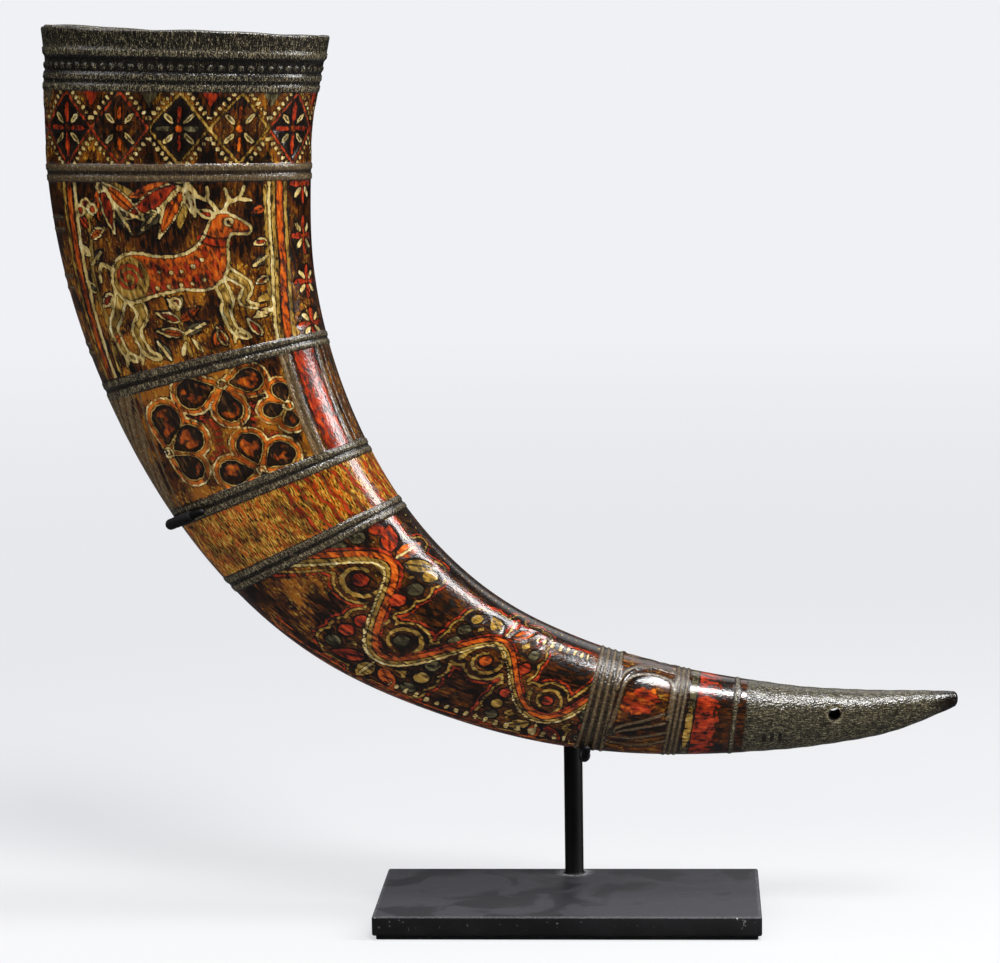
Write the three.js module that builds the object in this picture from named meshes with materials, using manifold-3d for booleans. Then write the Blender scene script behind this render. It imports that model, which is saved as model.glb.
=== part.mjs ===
// Carved, lacquered drinking horn resting in the two hooks of its steel display stand.
// Millimetres, +Z up. X runs towards the horn's tip and Y away from the viewer.
// The origin is the middle of the underside that the stand rests on.
import * as THREE from 'three';
import { mergeVertices } from 'three/addons/utils/BufferGeometryUtils.js';
import loadManifold from 'manifold-3d';

const wasm = await loadManifold();
wasm.setup();

// Driving dimensions of the stand
const plate = { width: 127, depth: 63.5, thickness: 6.35, chamfer: 0.5 };
const pad = { thickness: 1.5, inset: 1.2 };
const post = { diameter: 6.35, x: 0.8, rear_margin: 5.25, head: 8 };
const screw = { diameter: 3, length: 14, head_diameter: 5.6, head_height: 1.7, clearance: 0.15, flush: 0.1 };
const spine = { diameter: 4.8, socket_depth: 10, socket_clearance: 0.15, rise: 2, bend_run: 14 };
const hook = { diameter: 2.4, end_length: 1.2 };
const sleeve = { wall: 0.5, clearance: 0.1, bare_end: 4.5 };
const upper_hook = { below_ring: 0.8, front_reach: 13, back_reach: 4 };
const lower_hook = { front_reach: 4, rear_overhang: 1.5 };
const seat_gap = 0.3;

// Driving dimensions of the horn. Each station is a place where the horn was measured, from rim to tip:
// x and z of the section's centre, its width across the bend, its lean from level in degrees,
// its depth from front to back, and the degrees by which its front is tipped towards the rim.
const stations = {
  rim:      { x: -121.5, z: 295.0, width: 94.0, lean: -3.0, depth: 58.0, tip: 0 },
  neck:     { x: -122.0, z: 286.5, width: 91.5, lean: -2.0, depth: 57.0, tip: 0 },
  collar:   { x: -123.3, z: 277.0, width: 89.5, lean: -1.5, depth: 56.0, tip: 0 },
  ring_1:   { x: -124.7, z: 249.5, width: 86.0, lean: -0.5, depth: 54.5, tip: 1 },
  panel:    { x: -122.5, z: 219.5, width: 81.5, lean: 2.5, depth: 52.0, tip: 3 },
  ring_2:   { x: -114.0, z: 186.0, width: 75.0, lean: 13.5, depth: 49.0, tip: 5 },
  ring_3:   { x: -96.5, z: 147.0, width: 68.0, lean: 21.0, depth: 45.5, tip: 5 },
  ring_4:   { x: -82.5, z: 126.5, width: 63.5, lean: 25.5, depth: 42.5, tip: 4 },
  scroll_a: { x: -57.0, z: 102.0, width: 54.5, lean: 36.0, depth: 38.0, tip: 2 },
  scroll_b: { x: -25.0, z: 84.5, width: 43.0, lean: 51.0, depth: 32.0, tip: 0 },
  ring_5:   { x: 11.0, z: 73.5, width: 34.0, lean: 76.0, depth: 27.0, tip: 0 },
  ring_6:   { x: 36.0, z: 69.5, width: 29.0, lean: 79.0, depth: 24.0, tip: 0 },
  ring_7:   { x: 55.0, z: 68.0, width: 25.0, lean: 83.0, depth: 21.0, tip: 0 },
  hole:     { x: 88.0, z: 67.7, width: 18.0, lean: 89.0, depth: 15.5, tip: 0 },
  taper:    { x: 111.0, z: 70.0, width: 12.3, lean: 90.0, depth: 11.0, tip: 0 },
  tip:      { x: 127.0, z: 73.2, width: 5.3, lean: 92.0, depth: 5.0, tip: 0 },
};
const section_power = 2.3;
const tip_round = 1.8;
const cavity = { length: 236, mouth_wall: 4, deep_wall: 6.5, taper_power: 5, rim_round: 0.9 };
const tip_hole = { diameter: 3.8, rise: 2.2 };

// Raised rings. A pair lies evenly about its station, its ridges a distance apart; a single ridge lies
// a distance past its station. Each ridge has a flat top of the given width.
const ridge_slope = 0.5;
const ridge_height = 0.5;
const ring_pairs = [
  { station: 'ring_1', apart: 3.4, top: 1.4 },
  { station: 'ring_2', apart: 3.2, top: 1.4 },
  { station: 'ring_3', apart: 3.2, top: 1.4 },
  { station: 'ring_4', apart: 3.2, top: 1.4 },
  { station: 'ring_5', apart: 4.8, top: 2.0 },
  { station: 'ring_6', apart: 2.8, top: 1.3 },
];
const single_ridges = [
  { station: 'neck', past: -1.2, top: 1.6 },
  { station: 'collar', past: -3.4, top: 1.3 },
  { station: 'collar', past: 0.2, top: 2.0 },
  { station: 'ring_7', past: 0, top: 1.0 },
];
const ridges = ring_pairs.flatMap(({ station, apart, top }) => [
  { station, past: -apart / 2, top },
  { station, past: apart / 2, top },
]).concat(single_ridges);

// Facet counts
const horn_columns = 36;
const horn_row_step = 15;
const cavity_rows = 18;
const dome_rows = 3;
const hook_sides = 10;
const hook_step = 2.6;
const spine_sides = 12;
const spine_steps = 24;
const spine_step = 5;
const round_sides = 24;

// Natural cubic spline through the values at the given knots.
function naturalSpline(knots, values) {
  const last = knots.length - 1;
  const span = knots.slice(1).map((knot, i) => knot - knots[i]);
  const slope = span.map((h, i) => (values[i + 1] - values[i]) / h);
  const upper = [0];
  const right = [0];
  for (let i = 1; i < last; i++) {
    const pivot = 2 * (span[i - 1] + span[i]) - span[i - 1] * upper[i - 1];
    upper[i] = span[i] / pivot;
    right[i] = (6 * (slope[i] - slope[i - 1]) - span[i - 1] * right[i - 1]) / pivot;
  }
  const bend = new Array(last + 1).fill(0);
  for (let i = last - 1; i > 0; i--) bend[i] = right[i] - upper[i] * bend[i + 1];
  return (at) => {
    let i = 0;
    while (i < last - 1 && at > knots[i + 1]) i++;
    const h = span[i];
    const a = knots[i + 1] - at;
    const b = at - knots[i];
    const curve = (bend[i] * a ** 3 + bend[i + 1] * b ** 3) / (6 * h);
    return curve + (values[i] / h - bend[i] * h / 6) * a + (values[i + 1] / h - bend[i + 1] * h / 6) * b;
  };
}

// Distance of each station from the rim along the centreline, and a spline for each measure.
const names = Object.keys(stations);
const rows = Object.values(stations);
const knots = [0];
for (let i = 1; i < rows.length; i++) {
  knots.push(knots[i - 1] + Math.hypot(rows[i].x - rows[i - 1].x, rows[i].z - rows[i - 1].z));
}
const stationAt = Object.fromEntries(names.map((name, i) => [name, knots[i]]));
const hornLength = knots[knots.length - 1];
const measure = {};
for (const key of Object.keys(rows[0])) measure[key] = naturalSpline(knots, rows.map((row) => row[key]));

// Height of the raised rings at a distance from the rim.
function relief(at) {
  let height = 0;
  for (const ridge of ridges) {
    const away = Math.abs(at - stationAt[ridge.station] - ridge.past) - ridge.top / 2;
    height = Math.max(height, ridge_height * THREE.MathUtils.clamp(1 - away / ridge_slope, 0, 1));
  }
  return height;
}

// The section at a distance from the rim: centre, direction across the bend from the outer to the
// inner edge, direction front to back, direction square to both towards the rim, and the half sizes.
function section(at) {
  const lean = THREE.MathUtils.degToRad(measure.lean(at));
  const tip = THREE.MathUtils.degToRad(measure.tip(at));
  const across = new THREE.Vector3(Math.cos(lean), 0, Math.sin(lean));
  const toRim = new THREE.Vector3(-Math.sin(lean), 0, Math.cos(lean));
  const toBack = new THREE.Vector3(0, Math.cos(tip), 0).addScaledVector(toRim, -Math.sin(tip));
  const normal = across.clone().cross(toBack);
  const centre = new THREE.Vector3(measure.x(at), 0, measure.z(at));
  const halfWidth = measure.width(at) / 2;
  const halfDepth = measure.depth(at) / 2;
  return { centre, across, toBack, normal, halfWidth, halfDepth };
}

// Point on a superellipse, angle 0 at the inner edge and 90 degrees at the back, moved out by a distance.
function onSection(place, angle, out = 0) {
  const root = (value, power) => Math.sign(value) * Math.abs(value) ** power;
  const share = 2 / section_power;
  const c = Math.cos(angle);
  const s = Math.sin(angle);
  const { centre, across, toBack, halfWidth, halfDepth } = place;
  const shift = new THREE.Vector2(root(c, 2 - share) / halfWidth, root(s, 2 - share) / halfDepth);
  shift.setLength(out);
  const u = halfWidth * root(c, share) + shift.x;
  const v = halfDepth * root(s, share) + shift.y;
  return centre.clone().addScaledVector(across, u).addScaledVector(toBack, v);
}

// Angle past the outer edge at which the section is a distance in from that edge, across the bend.
function angleFromEdge(place, reach) {
  return Math.acos((1 - reach / place.halfWidth) ** (section_power / 2));
}

// Closed skin over a row of rings with equal counts: each end closes on a middle point, unless the
// row of rings is a loop that comes back to its first ring.
function skin(rings, loop = false) {
  const count = rings[0].length;
  const positions = rings.flat().flatMap((point) => point.toArray());
  const index = [];
  const at = (ring, k) => (ring % rings.length) * count + (k % count);
  const bands = loop ? rings.length : rings.length - 1;
  for (let ring = 0; ring < bands; ring++) {
    for (let k = 0; k < count; k++) {
      index.push(at(ring, k), at(ring, k + 1), at(ring + 1, k + 1));
      index.push(at(ring, k), at(ring + 1, k + 1), at(ring + 1, k));
    }
  }
  if (!loop) {
    const last = rings.length - 1;
    for (const ring of [0, last]) {
      const middle = rings[ring].reduce((sum, point) => sum.add(point), new THREE.Vector3());
      const pole = positions.length / 3;
      positions.push(...middle.divideScalar(count).toArray());
      for (let k = 0; k < count; k++) {
        if (ring === 0) index.push(pole, at(ring, k + 1), at(ring, k));
        else index.push(pole, at(ring, k), at(ring, k + 1));
      }
    }
  }
  const geometry = new THREE.BufferGeometry();
  geometry.setAttribute('position', new THREE.Float32BufferAttribute(positions, 3));
  geometry.setIndex(index);
  geometry.computeVertexNormals();
  return geometry;
}

// Frames carried along a path without twist, each with two directions square to the path. The last
// frame can be given its own direction, to square a rod's end to what it meets.
function carryFrames(points, endAlong) {
  const frames = [];
  const side = new THREE.Vector3();
  points.forEach((point, i) => {
    const ahead = points[Math.min(i + 1, points.length - 1)];
    const behind = points[Math.max(i - 1, 0)];
    const along = ahead.clone().sub(behind).normalize();
    if (endAlong && ahead === point) along.copy(endAlong);
    if (i === 0) side.set(0, 0, 0).setComponent(Math.abs(along.x) < Math.abs(along.y) ? 0 : 1, 1);
    side.addScaledVector(along, -side.dot(along)).normalize();
    frames.push({ point, along, side: side.clone(), up: along.clone().cross(side) });
  });
  return frames;
}

// Circle of points round a frame, moved along the path by a shift.
function circle(frame, radius, sides, shift = 0) {
  return Array.from({ length: sides }, (_, k) => {
    const angle = (2 * Math.PI * k) / sides;
    return frame.point.clone()
      .addScaledVector(frame.along, shift)
      .addScaledVector(frame.side, radius * Math.cos(angle))
      .addScaledVector(frame.up, radius * Math.sin(angle));
  });
}

// Angle of a row of a rounded end, the last row short of the pole by half a step.
function domeTurn(row) {
  return (row / (dome_rows + 1 / 2)) * (Math.PI / 2);
}

// Round rod along frames, square at its start and drawn to a rounded end of the given length.
function rod(frames, radius, sides, endLength) {
  const rings = frames.map((frame) => circle(frame, radius, sides));
  const end = frames[frames.length - 1];
  for (let k = 1; endLength > 0 && k <= dome_rows; k++) {
    const turn = domeTurn(k);
    rings.push(circle(end, radius * Math.cos(turn), sides, endLength * Math.sin(turn)));
  }
  return skin(rings);
}

// Soft tube over a stretch of frames, open at both ends.
function tube(frames, innerRadius, outerRadius, sides) {
  const outer = frames.map((frame) => circle(frame, outerRadius, sides));
  const inner = frames.map((frame) => circle(frame, innerRadius, sides)).reverse();
  return skin([...outer, ...inner], true);
}

// Solid for a boolean cut, from a closed geometry, and back to a geometry.
function toSolid(geometry) {
  const bare = new THREE.BufferGeometry();
  bare.setAttribute('position', geometry.getAttribute('position').clone());
  if (geometry.index) bare.setIndex(geometry.index.clone());
  const merged = mergeVertices(bare, 1e-4);
  const mesh = new wasm.Mesh({
    numProp: 3,
    vertProperties: Float32Array.from(merged.getAttribute('position').array),
    triVerts: Uint32Array.from(merged.index.array),
  });
  return new wasm.Manifold(mesh);
}

function fromSolid(solid) {
  const mesh = solid.getMesh();
  const geometry = new THREE.BufferGeometry();
  geometry.setAttribute('position', new THREE.BufferAttribute(Float32Array.from(mesh.vertProperties), 3));
  geometry.setIndex(new THREE.BufferAttribute(Uint32Array.from(mesh.triVerts), 1));
  geometry.computeVertexNormals();
  return geometry;
}

function cut(geometry, ...cutters) {
  return fromSolid(cutters.reduce((solid, cutter) => solid.subtract(toSolid(cutter)), toSolid(geometry)));
}

// Upright turned piece from a profile of radius and height.
function turned(profile, x, y) {
  const points = profile.map(([radius, height]) => new THREE.Vector2(radius, height));
  const geometry = new THREE.LatheGeometry(points, round_sides);
  geometry.rotateX(Math.PI / 2);
  geometry.translate(x, y, 0);
  return geometry;
}

// Flat slab with chamfered edges, standing on the given height.
function slab(width, depth, thickness, chamfer, bottom) {
  const outline = new THREE.Shape();
  const x = width / 2 - chamfer;
  const y = depth / 2 - chamfer;
  outline.moveTo(-x, -y).lineTo(x, -y).lineTo(x, y).lineTo(-x, y).closePath();
  const geometry = new THREE.ExtrudeGeometry(outline, {
    depth: thickness - 2 * chamfer,
    bevelEnabled: chamfer > 0,
    bevelSize: chamfer,
    bevelThickness: chamfer,
    bevelSegments: 1,
  });
  geometry.translate(0, 0, bottom + chamfer);
  return geometry;
}

// Horn: rows from the rounded tip over the rings to the rim, then down the hollow to its closed end.
function sectionRing(place, out = 0) {
  const turn = (2 * Math.PI) / horn_columns;
  return Array.from({ length: horn_columns }, (_, k) => onSection(place, turn * k, out));
}

function hornRows() {
  const marks = [cavity.rim_round, hornLength];
  for (const ridge of ridges) {
    const middle = stationAt[ridge.station] + ridge.past;
    for (const side of [-1, 1]) {
      marks.push(middle + side * ridge.top / 2, middle + side * (ridge.top / 2 + ridge_slope));
    }
  }
  marks.sort((a, b) => a - b);
  const filled = [];
  marks.forEach((mark, i) => {
    if (i > 0) {
      const gap = mark - marks[i - 1];
      const parts = Math.max(1, Math.round(gap / horn_row_step));
      for (let k = 1; k < parts; k++) filled.push(marks[i - 1] + (gap * k) / parts);
    }
    filled.push(mark);
  });
  return filled.reverse();
}

function hornGeometry() {
  const rings = [];
  const tipSection = section(hornLength);
  const tipRing = sectionRing(tipSection);
  const tipCentre = tipSection.centre;
  const tipWay = tipCentre.clone().sub(section(hornLength - 1).centre).normalize();
  for (let k = dome_rows; k > 0; k--) {
    const turn = domeTurn(k);
    rings.push(tipRing.map((point) => point.clone().sub(tipCentre)
      .multiplyScalar(Math.cos(turn)).add(tipCentre)
      .addScaledVector(tipWay, tip_round * Math.sin(turn))));
  }
  for (const at of hornRows()) rings.push(sectionRing(section(at), relief(at)));
  rings.push(sectionRing(section(0), -cavity.rim_round));
  rings.push(sectionRing(section(0), cavity.rim_round - cavity.mouth_wall));
  for (let k = 0; k < cavity_rows; k++) {
    const share = Math.sin((k / cavity_rows) * (Math.PI / 2));
    const at = cavity.rim_round + (cavity.length - cavity.rim_round) * share;
    const wall = cavity.mouth_wall + (cavity.deep_wall - cavity.mouth_wall) * share;
    const place = section(at);
    const keep = Math.sqrt(1 - share ** cavity.taper_power);
    place.halfWidth = (place.halfWidth - wall) * keep;
    place.halfDepth = (place.halfDepth - wall) * keep;
    rings.push(sectionRing(place));
  }
  const drilled = new THREE.CylinderGeometry(
    tip_hole.diameter / 2, tip_hole.diameter / 2, 2 * stations.hole.depth, round_sides);
  drilled.translate(stations.hole.x, 0, stations.hole.z + tip_hole.rise);
  return cut(skin(rings), drilled);
}

// Stand: places worked out from the plate, the post and the horn that it carries.
const plateBottom = pad.thickness;
const plateTop = plateBottom + plate.thickness;
const postRadius = post.diameter / 2;
const postY = plate.depth / 2 - post.rear_margin;
const hookRadius = hook.diameter / 2;
const sleeveInner = hookRadius + sleeve.clearance;
const sleeveOuter = sleeveInner + sleeve.wall;
const hookOut = ridge_height + seat_gap + sleeveOuter;
const spineRadius = spine.diameter / 2;
const spineOut = ridge_height + seat_gap + spineRadius;

// Distance along the horn at which a measure, rising with it, reaches a value.
function distanceWhere(value, rising) {
  let low = stationAt.ring_4;
  let high = stationAt.ring_7;
  for (let k = 0; k < 40; k++) {
    const middle = (low + high) / 2;
    if (rising(middle) < value) low = middle;
    else high = middle;
  }
  return (low + high) / 2;
}

// Points on a section's outline between two angles, a rod's distance away from the horn.
function aroundSection(place, from, to) {
  const turns = 60;
  return Array.from({ length: turns + 1 }, (_, k) => {
    return onSection(place, from + ((to - from) * k) / turns, hookOut);
  });
}

// Even steps along a line of points.
function evenSteps(points, step) {
  const reached = [0];
  for (let i = 1; i < points.length; i++) reached.push(reached[i - 1] + points[i].distanceTo(points[i - 1]));
  const length = reached[reached.length - 1];
  const count = Math.ceil(length / step);
  let i = 0;
  return Array.from({ length: count + 1 }, (_, k) => {
    const at = (length * k) / count;
    while (i < points.length - 2 && at > reached[i + 1]) i++;
    const share = (at - reached[i]) / (reached[i + 1] - reached[i]);
    return points[i].clone().lerp(points[i + 1], share);
  });
}

// Upper hook: from behind the horn, round its outer edge, onto its front.
const upperSection = section(stationAt.ring_3 + upper_hook.below_ring);
const upperFrames = carryFrames(evenSteps(aroundSection(
  upperSection,
  Math.acos((upper_hook.back_reach / upperSection.halfWidth) ** (section_power / 2)),
  Math.PI + angleFromEdge(upperSection, upper_hook.front_reach),
), hook_step));

// Lower hook: straight past the post's side, under the belly, and up the front.
const lowerX = post.x + postRadius + seat_gap + hookRadius;
const lowerAt = distanceWhere(lowerX, (at) => onSection(section(at), Math.PI, hookOut).x);
const lowerSection = section(lowerAt);
const lowerRound = aroundSection(
  lowerSection, Math.PI, Math.PI + angleFromEdge(lowerSection, lower_hook.front_reach));
const lowerRear = lowerRound[0].clone();
lowerRear.y = postY + postRadius + lower_hook.rear_overhang;
const lowerFrames = carryFrames(evenSteps([lowerRear, ...lowerRound], hook_step));

// Post: its top stands a little above the lower hook and takes the spine in a socket.
const postTop = lowerRear.z + post.head;
const socketBottom = postTop - spine.socket_depth;
const screwBottom = plateBottom + screw.flush;
const screwTop = screwBottom + screw.length;
const screwRadius = screw.diameter / 2;
const headRadius = screw.head_diameter / 2;

function postGeometry() {
  const tapRadius = screwRadius + screw.clearance;
  const tapTop = screwTop + screw.clearance;
  const socketRadius = spineRadius + spine.socket_clearance;
  return turned([
    [0, tapTop], [tapRadius, tapTop], [tapRadius, plateTop], [postRadius, plateTop],
    [postRadius, postTop], [socketRadius, postTop], [socketRadius, socketBottom], [0, socketBottom],
  ], post.x, postY);
}

function screwGeometry() {
  return turned([
    [0, screwBottom], [headRadius, screwBottom], [screwRadius, screwBottom + screw.head_height],
    [screwRadius, screwTop], [0, screwTop],
  ], post.x, postY);
}

function plateGeometry() {
  const block = slab(plate.width, plate.depth, plate.thickness, plate.chamfer, plateBottom);
  const bore = screwRadius + screw.clearance;
  const sink = headRadius + screw.clearance;
  const through = turned([
    [0, plateBottom - plate.chamfer], [sink, plateBottom - plate.chamfer], [sink, screwBottom],
    [bore, screwBottom + screw.head_height], [bore, plateTop + plate.chamfer], [0, plateTop + plate.chamfer],
  ], post.x, postY);
  return cut(block, through);
}

// Spine: a straight spigot in the post's socket, a bend, then along the back of the horn to the upper hook.
function spineFrames() {
  const end = onSection(upperSection, Math.PI / 2, spineOut)
    .addScaledVector(upperSection.normal, -hookRadius - seat_gap);
  const top = stationAt.ring_3 + upper_hook.below_ring + spine_step;
  const bottom = distanceWhere(post.x - spine.bend_run, measure.x);
  const run = Array.from({ length: spine_steps + 1 }, (_, k) => {
    const share = k / spine_steps;
    const point = onSection(section(THREE.MathUtils.lerp(bottom, top, share)), Math.PI / 2, spineOut);
    point.y = Math.max(point.y, THREE.MathUtils.lerp(postY, end.y, share));
    return point;
  });
  const foot = new THREE.Vector3(post.x, postY, socketBottom + spine.socket_clearance);
  const leave = new THREE.Vector3(post.x, postY, postTop + spine.rise);
  const heading = run[1].clone().sub(run[0]).normalize();
  const pull = leave.distanceTo(run[0]) / 2;
  const bend = new THREE.CubicBezierCurve3(
    leave,
    leave.clone().setZ(leave.z + pull),
    run[0].clone().addScaledVector(heading, -pull),
    run[0],
  );
  const path = [foot, ...bend.getPoints(spine_steps), ...run.slice(1), end];
  return carryFrames(evenSteps(path, spine_step), upperSection.normal);
}

// Stretch of a hook that its sleeve covers: where it follows the horn, short of its bare end.
function sleeveStretch(frames, isCovered) {
  const bare = Math.round(sleeve.bare_end / hook_step);
  return frames.slice(0, frames.length - bare).filter(isCovered);
}

// Finishes
const finishes = {
  lacquered_horn: { color: 0x3a2716, roughness: 0.3, metalness: 0 },
  black_paint: { color: 0x101012, roughness: 0.55, metalness: 0.2 },
  felt: { color: 0x0c0c0d, roughness: 1, metalness: 0 },
  soft_sleeve: { color: 0x161617, roughness: 0.8, metalness: 0 },
  bright_steel: { color: 0xa9abad, roughness: 0.35, metalness: 1 },
};

function piece(name, geometry, finish) {
  const mesh = new THREE.Mesh(geometry, new THREE.MeshStandardMaterial(finishes[finish]));
  mesh.name = name;
  return mesh;
}

const stand = new THREE.Group();
const padWidth = plate.width - 2 * pad.inset;
const padDepth = plate.depth - 2 * pad.inset;
stand.add(
  piece('base_pad', slab(padWidth, padDepth, pad.thickness, 0, 0), 'felt'),
  piece('base_plate', plateGeometry(), 'black_paint'),
  piece('post_screw', screwGeometry(), 'bright_steel'),
  piece('post', postGeometry(), 'black_paint'),
  piece('spine', rod(spineFrames(), spineRadius, spine_sides, 0), 'black_paint'),
  piece('upper_hook', rod(upperFrames, hookRadius, hook_sides, hook.end_length), 'black_paint'),
  piece('lower_hook', rod(lowerFrames, hookRadius, hook_sides, hook.end_length), 'black_paint'),
);
const upperCover = sleeveStretch(upperFrames, ({ point }) => point.y < upperSection.halfDepth);
const lowerCover = sleeveStretch(lowerFrames, ({ point }) => point.y < lowerSection.halfDepth);
stand.add(
  piece('upper_hook_sleeve', tube(upperCover, sleeveInner, sleeveOuter, hook_sides), 'soft_sleeve'),
  piece('lower_hook_sleeve', tube(lowerCover, sleeveInner, sleeveOuter, hook_sides), 'soft_sleeve'),
);

const drinkingHorn = new THREE.Group();
drinkingHorn.add(stand, piece('horn', hornGeometry(), 'lacquered_horn'));

export default drinkingHorn;
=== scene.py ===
# %% [markdown]
# # Carved and lacquered drinking horn on a steel stand
# A drinking horn is one hollow cattle horn. Rings and bands are carved into its outside, paint is rubbed
# into the carving, and clear lacquer goes over the paint. The horn rests loose in the two hooks of a small
# steel stand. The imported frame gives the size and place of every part; here each part gets a finer surface
# in the same place, and a finish of its own.

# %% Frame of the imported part
import functools

import bpy
import numpy as np
from mathutils import Matrix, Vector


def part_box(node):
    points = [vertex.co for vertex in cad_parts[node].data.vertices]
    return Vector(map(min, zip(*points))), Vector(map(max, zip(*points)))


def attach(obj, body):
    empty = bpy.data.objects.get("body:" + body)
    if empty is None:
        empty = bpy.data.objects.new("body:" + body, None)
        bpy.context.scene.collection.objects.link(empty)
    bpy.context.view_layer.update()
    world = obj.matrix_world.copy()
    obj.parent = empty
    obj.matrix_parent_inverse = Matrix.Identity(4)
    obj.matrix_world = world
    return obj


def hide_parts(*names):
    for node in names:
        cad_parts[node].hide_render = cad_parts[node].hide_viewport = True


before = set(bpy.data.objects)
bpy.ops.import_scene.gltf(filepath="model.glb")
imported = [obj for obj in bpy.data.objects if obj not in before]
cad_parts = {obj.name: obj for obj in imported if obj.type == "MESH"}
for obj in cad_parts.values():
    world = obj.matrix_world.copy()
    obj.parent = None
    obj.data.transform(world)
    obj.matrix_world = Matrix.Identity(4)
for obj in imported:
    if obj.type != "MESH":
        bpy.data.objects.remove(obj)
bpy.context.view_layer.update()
MM = 0.001
scene = bpy.context.scene

# %% [markdown]
# ## Camera
# The photograph was taken with a long lens from a little above the stand. The six visible corners of the
# base plate, whose size is known, give the lens and the place of the camera. Blender could aim a camera by
# a constraint, but a matrix built from its three directions holds the small roll as well.

# %% Camera
PHOTO_WIDTH = 1000
FOCAL_PX = 3280
CAMERA_PLACE = np.array([39.9, -1067.9, 290.8])
CAMERA_TURN = {"yaw": 3.28, "pitch": 7.68, "roll": -0.82}
SENSOR_MM = 36.0


def camera_matrix(place, turn):
    """Matrix whose columns are the picture's right, up and backward directions and the place in metres."""
    yaw, pitch, roll = (np.radians(turn[name]) for name in ("yaw", "pitch", "roll"))
    ahead = np.array([-np.sin(yaw) * np.cos(pitch), np.cos(yaw) * np.cos(pitch), -np.sin(pitch)])
    level = np.array([np.cos(yaw), np.sin(yaw), 0.0])
    over = np.cross(level, ahead)
    right = np.cos(roll) * level + np.sin(roll) * over
    up = np.cos(roll) * over - np.sin(roll) * level
    matrix = np.eye(4)
    matrix[:3] = np.stack([right, up, -ahead, place * MM], -1)
    return Matrix(matrix.tolist())


camera_data = bpy.data.cameras.new("camera")
camera_data.sensor_width = SENSOR_MM
camera_data.lens = FOCAL_PX / PHOTO_WIDTH * SENSOR_MM
camera = bpy.data.objects.new("camera", camera_data)
camera.matrix_world = camera_matrix(CAMERA_PLACE, CAMERA_TURN)
scene.collection.objects.link(camera)
scene.camera = camera
scene.view_settings.view_transform = "Standard"
print("lens in mm:", round(camera_data.lens, 2))

# %% [markdown]
# ## Helpers
# Colours are written as sRGB hex, as read off a screen, and one function turns them to the linear values
# that shaders add and multiply. One adds a shader node with its settings, and with values, colours or links
# for its inputs; a new material hands it out bound to its own tree. One puts arrays of points and faces
# into a mesh, which is faster than adding them one by one.


# %% Helpers for colour, nodes and meshes
def linear(colour):
    """sRGB hex to linear RGBA: c / 12.92 for dark values, ((c + 0.055) / 1.055) ^ 2.4 for the rest."""
    value = np.array([int(colour[i : i + 2], 16) for i in (1, 3, 5)]) / 255
    dark = value / 12.92
    light = ((value + 0.055) / 1.055) ** 2.4
    return (*np.where(value <= 0.04045, dark, light), 1.0)


# Short names of nodes whose settings repeat, with the inputs that are fed in order. A blend takes a share
# and two colours; a smooth step takes a value, start and end, and what it gives before and past them.
SHORT = {
    "Blend": ("Mix", {"data_type": "RGBA"}, (0, 6, 7), 2),
    "Smooth": ("MapRange", {"interpolation_type": "SMOOTHSTEP"}, range(5), 0),
    "Times": ("Math", {"operation": "MULTIPLY"}, range(2), 0),
    "Plus": ("Math", {"operation": "ADD"}, range(2), 0),
    "TimesPlus": ("Math", {"operation": "MULTIPLY_ADD"}, range(3), 0),
}


def node(tree, kind, inputs=(), out=0, **settings):
    """Adds a node with its settings, feeds its inputs values, hex colours or links, gives one output."""
    kind, preset, keys, out = SHORT.get(kind, (kind, {}, range(len(inputs)), out))
    made = tree.nodes.new("ShaderNode" + kind)
    for name, value in {**preset, **settings}.items():
        setattr(made, name, value)
    fed = inputs if isinstance(inputs, dict) else dict(zip(keys, inputs))
    for key, value in fed.items():
        if isinstance(value, bpy.types.NodeSocket):
            tree.links.new(value, made.inputs[key])
        else:
            made.inputs[key].default_value = linear(value) if isinstance(value, str) else value
    return made.outputs[out] if made.outputs else made


def new_material(name):
    """A material with an empty node tree, and the node function bound to that tree."""
    material = bpy.data.materials.new(name)
    material.use_nodes = True
    material.node_tree.nodes.clear()
    return material, functools.partial(node, material.node_tree)


def mesh_object(name, points, faces, smooth_under=40.0):
    """Object at the origin from points in mm and arrays of faces, smooth but for edges past an angle."""
    mesh = bpy.data.meshes.new(name)
    corners = np.concatenate([f.ravel() for f in faces])
    sides = np.concatenate([np.full(len(f), f.shape[1]) for f in faces])
    mesh.vertices.add(len(points))
    mesh.vertices.foreach_set("co", (np.asarray(points) * MM).astype(np.float32).ravel())
    mesh.loops.add(len(corners))
    mesh.loops.foreach_set("vertex_index", corners.astype(np.int32))
    mesh.polygons.add(len(sides))
    mesh.polygons.foreach_set("loop_start", (np.cumsum(sides) - sides).astype(np.int32))
    mesh.polygons.foreach_set("use_smooth", np.ones(len(sides), bool))
    mesh.update(calc_edges=True)
    mesh.validate()
    if smooth_under:
        mesh.set_sharp_from_angle(angle=np.radians(smooth_under))
    made = bpy.data.objects.new(name, mesh)
    scene.collection.objects.link(made)
    return made


def dress(made, material, body, slot, *nodes):
    """Gives a piece its finish and its body, and hides the nodes that it stands for. The slot is not used.
    """
    made.data.materials.append(material)
    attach(made, body)
    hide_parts(*nodes)
    print(made.name, len(made.data.polygons), "faces")
    return made


print("screen grey #808080 in linear light:", round(linear("#808080")[0], 3))

# %% [markdown]
# ## Studio
# The horn stands on a seamless white sweep. A tall soft box on the right draws the long highlight down the
# inner edge, one in front and one overhead light the carving, and two weak fills lift the left side and the
# back. The floor takes the shadow, and fades to the plain backdrop away from the object. A lit wall could
# be the backdrop, but its tone would hang on the lamps, so floor and world give the camera plain colours.
# In reflections the studio is dark and the sweep grey, so the lacquer's blacks mirror nothing bright.

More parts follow.
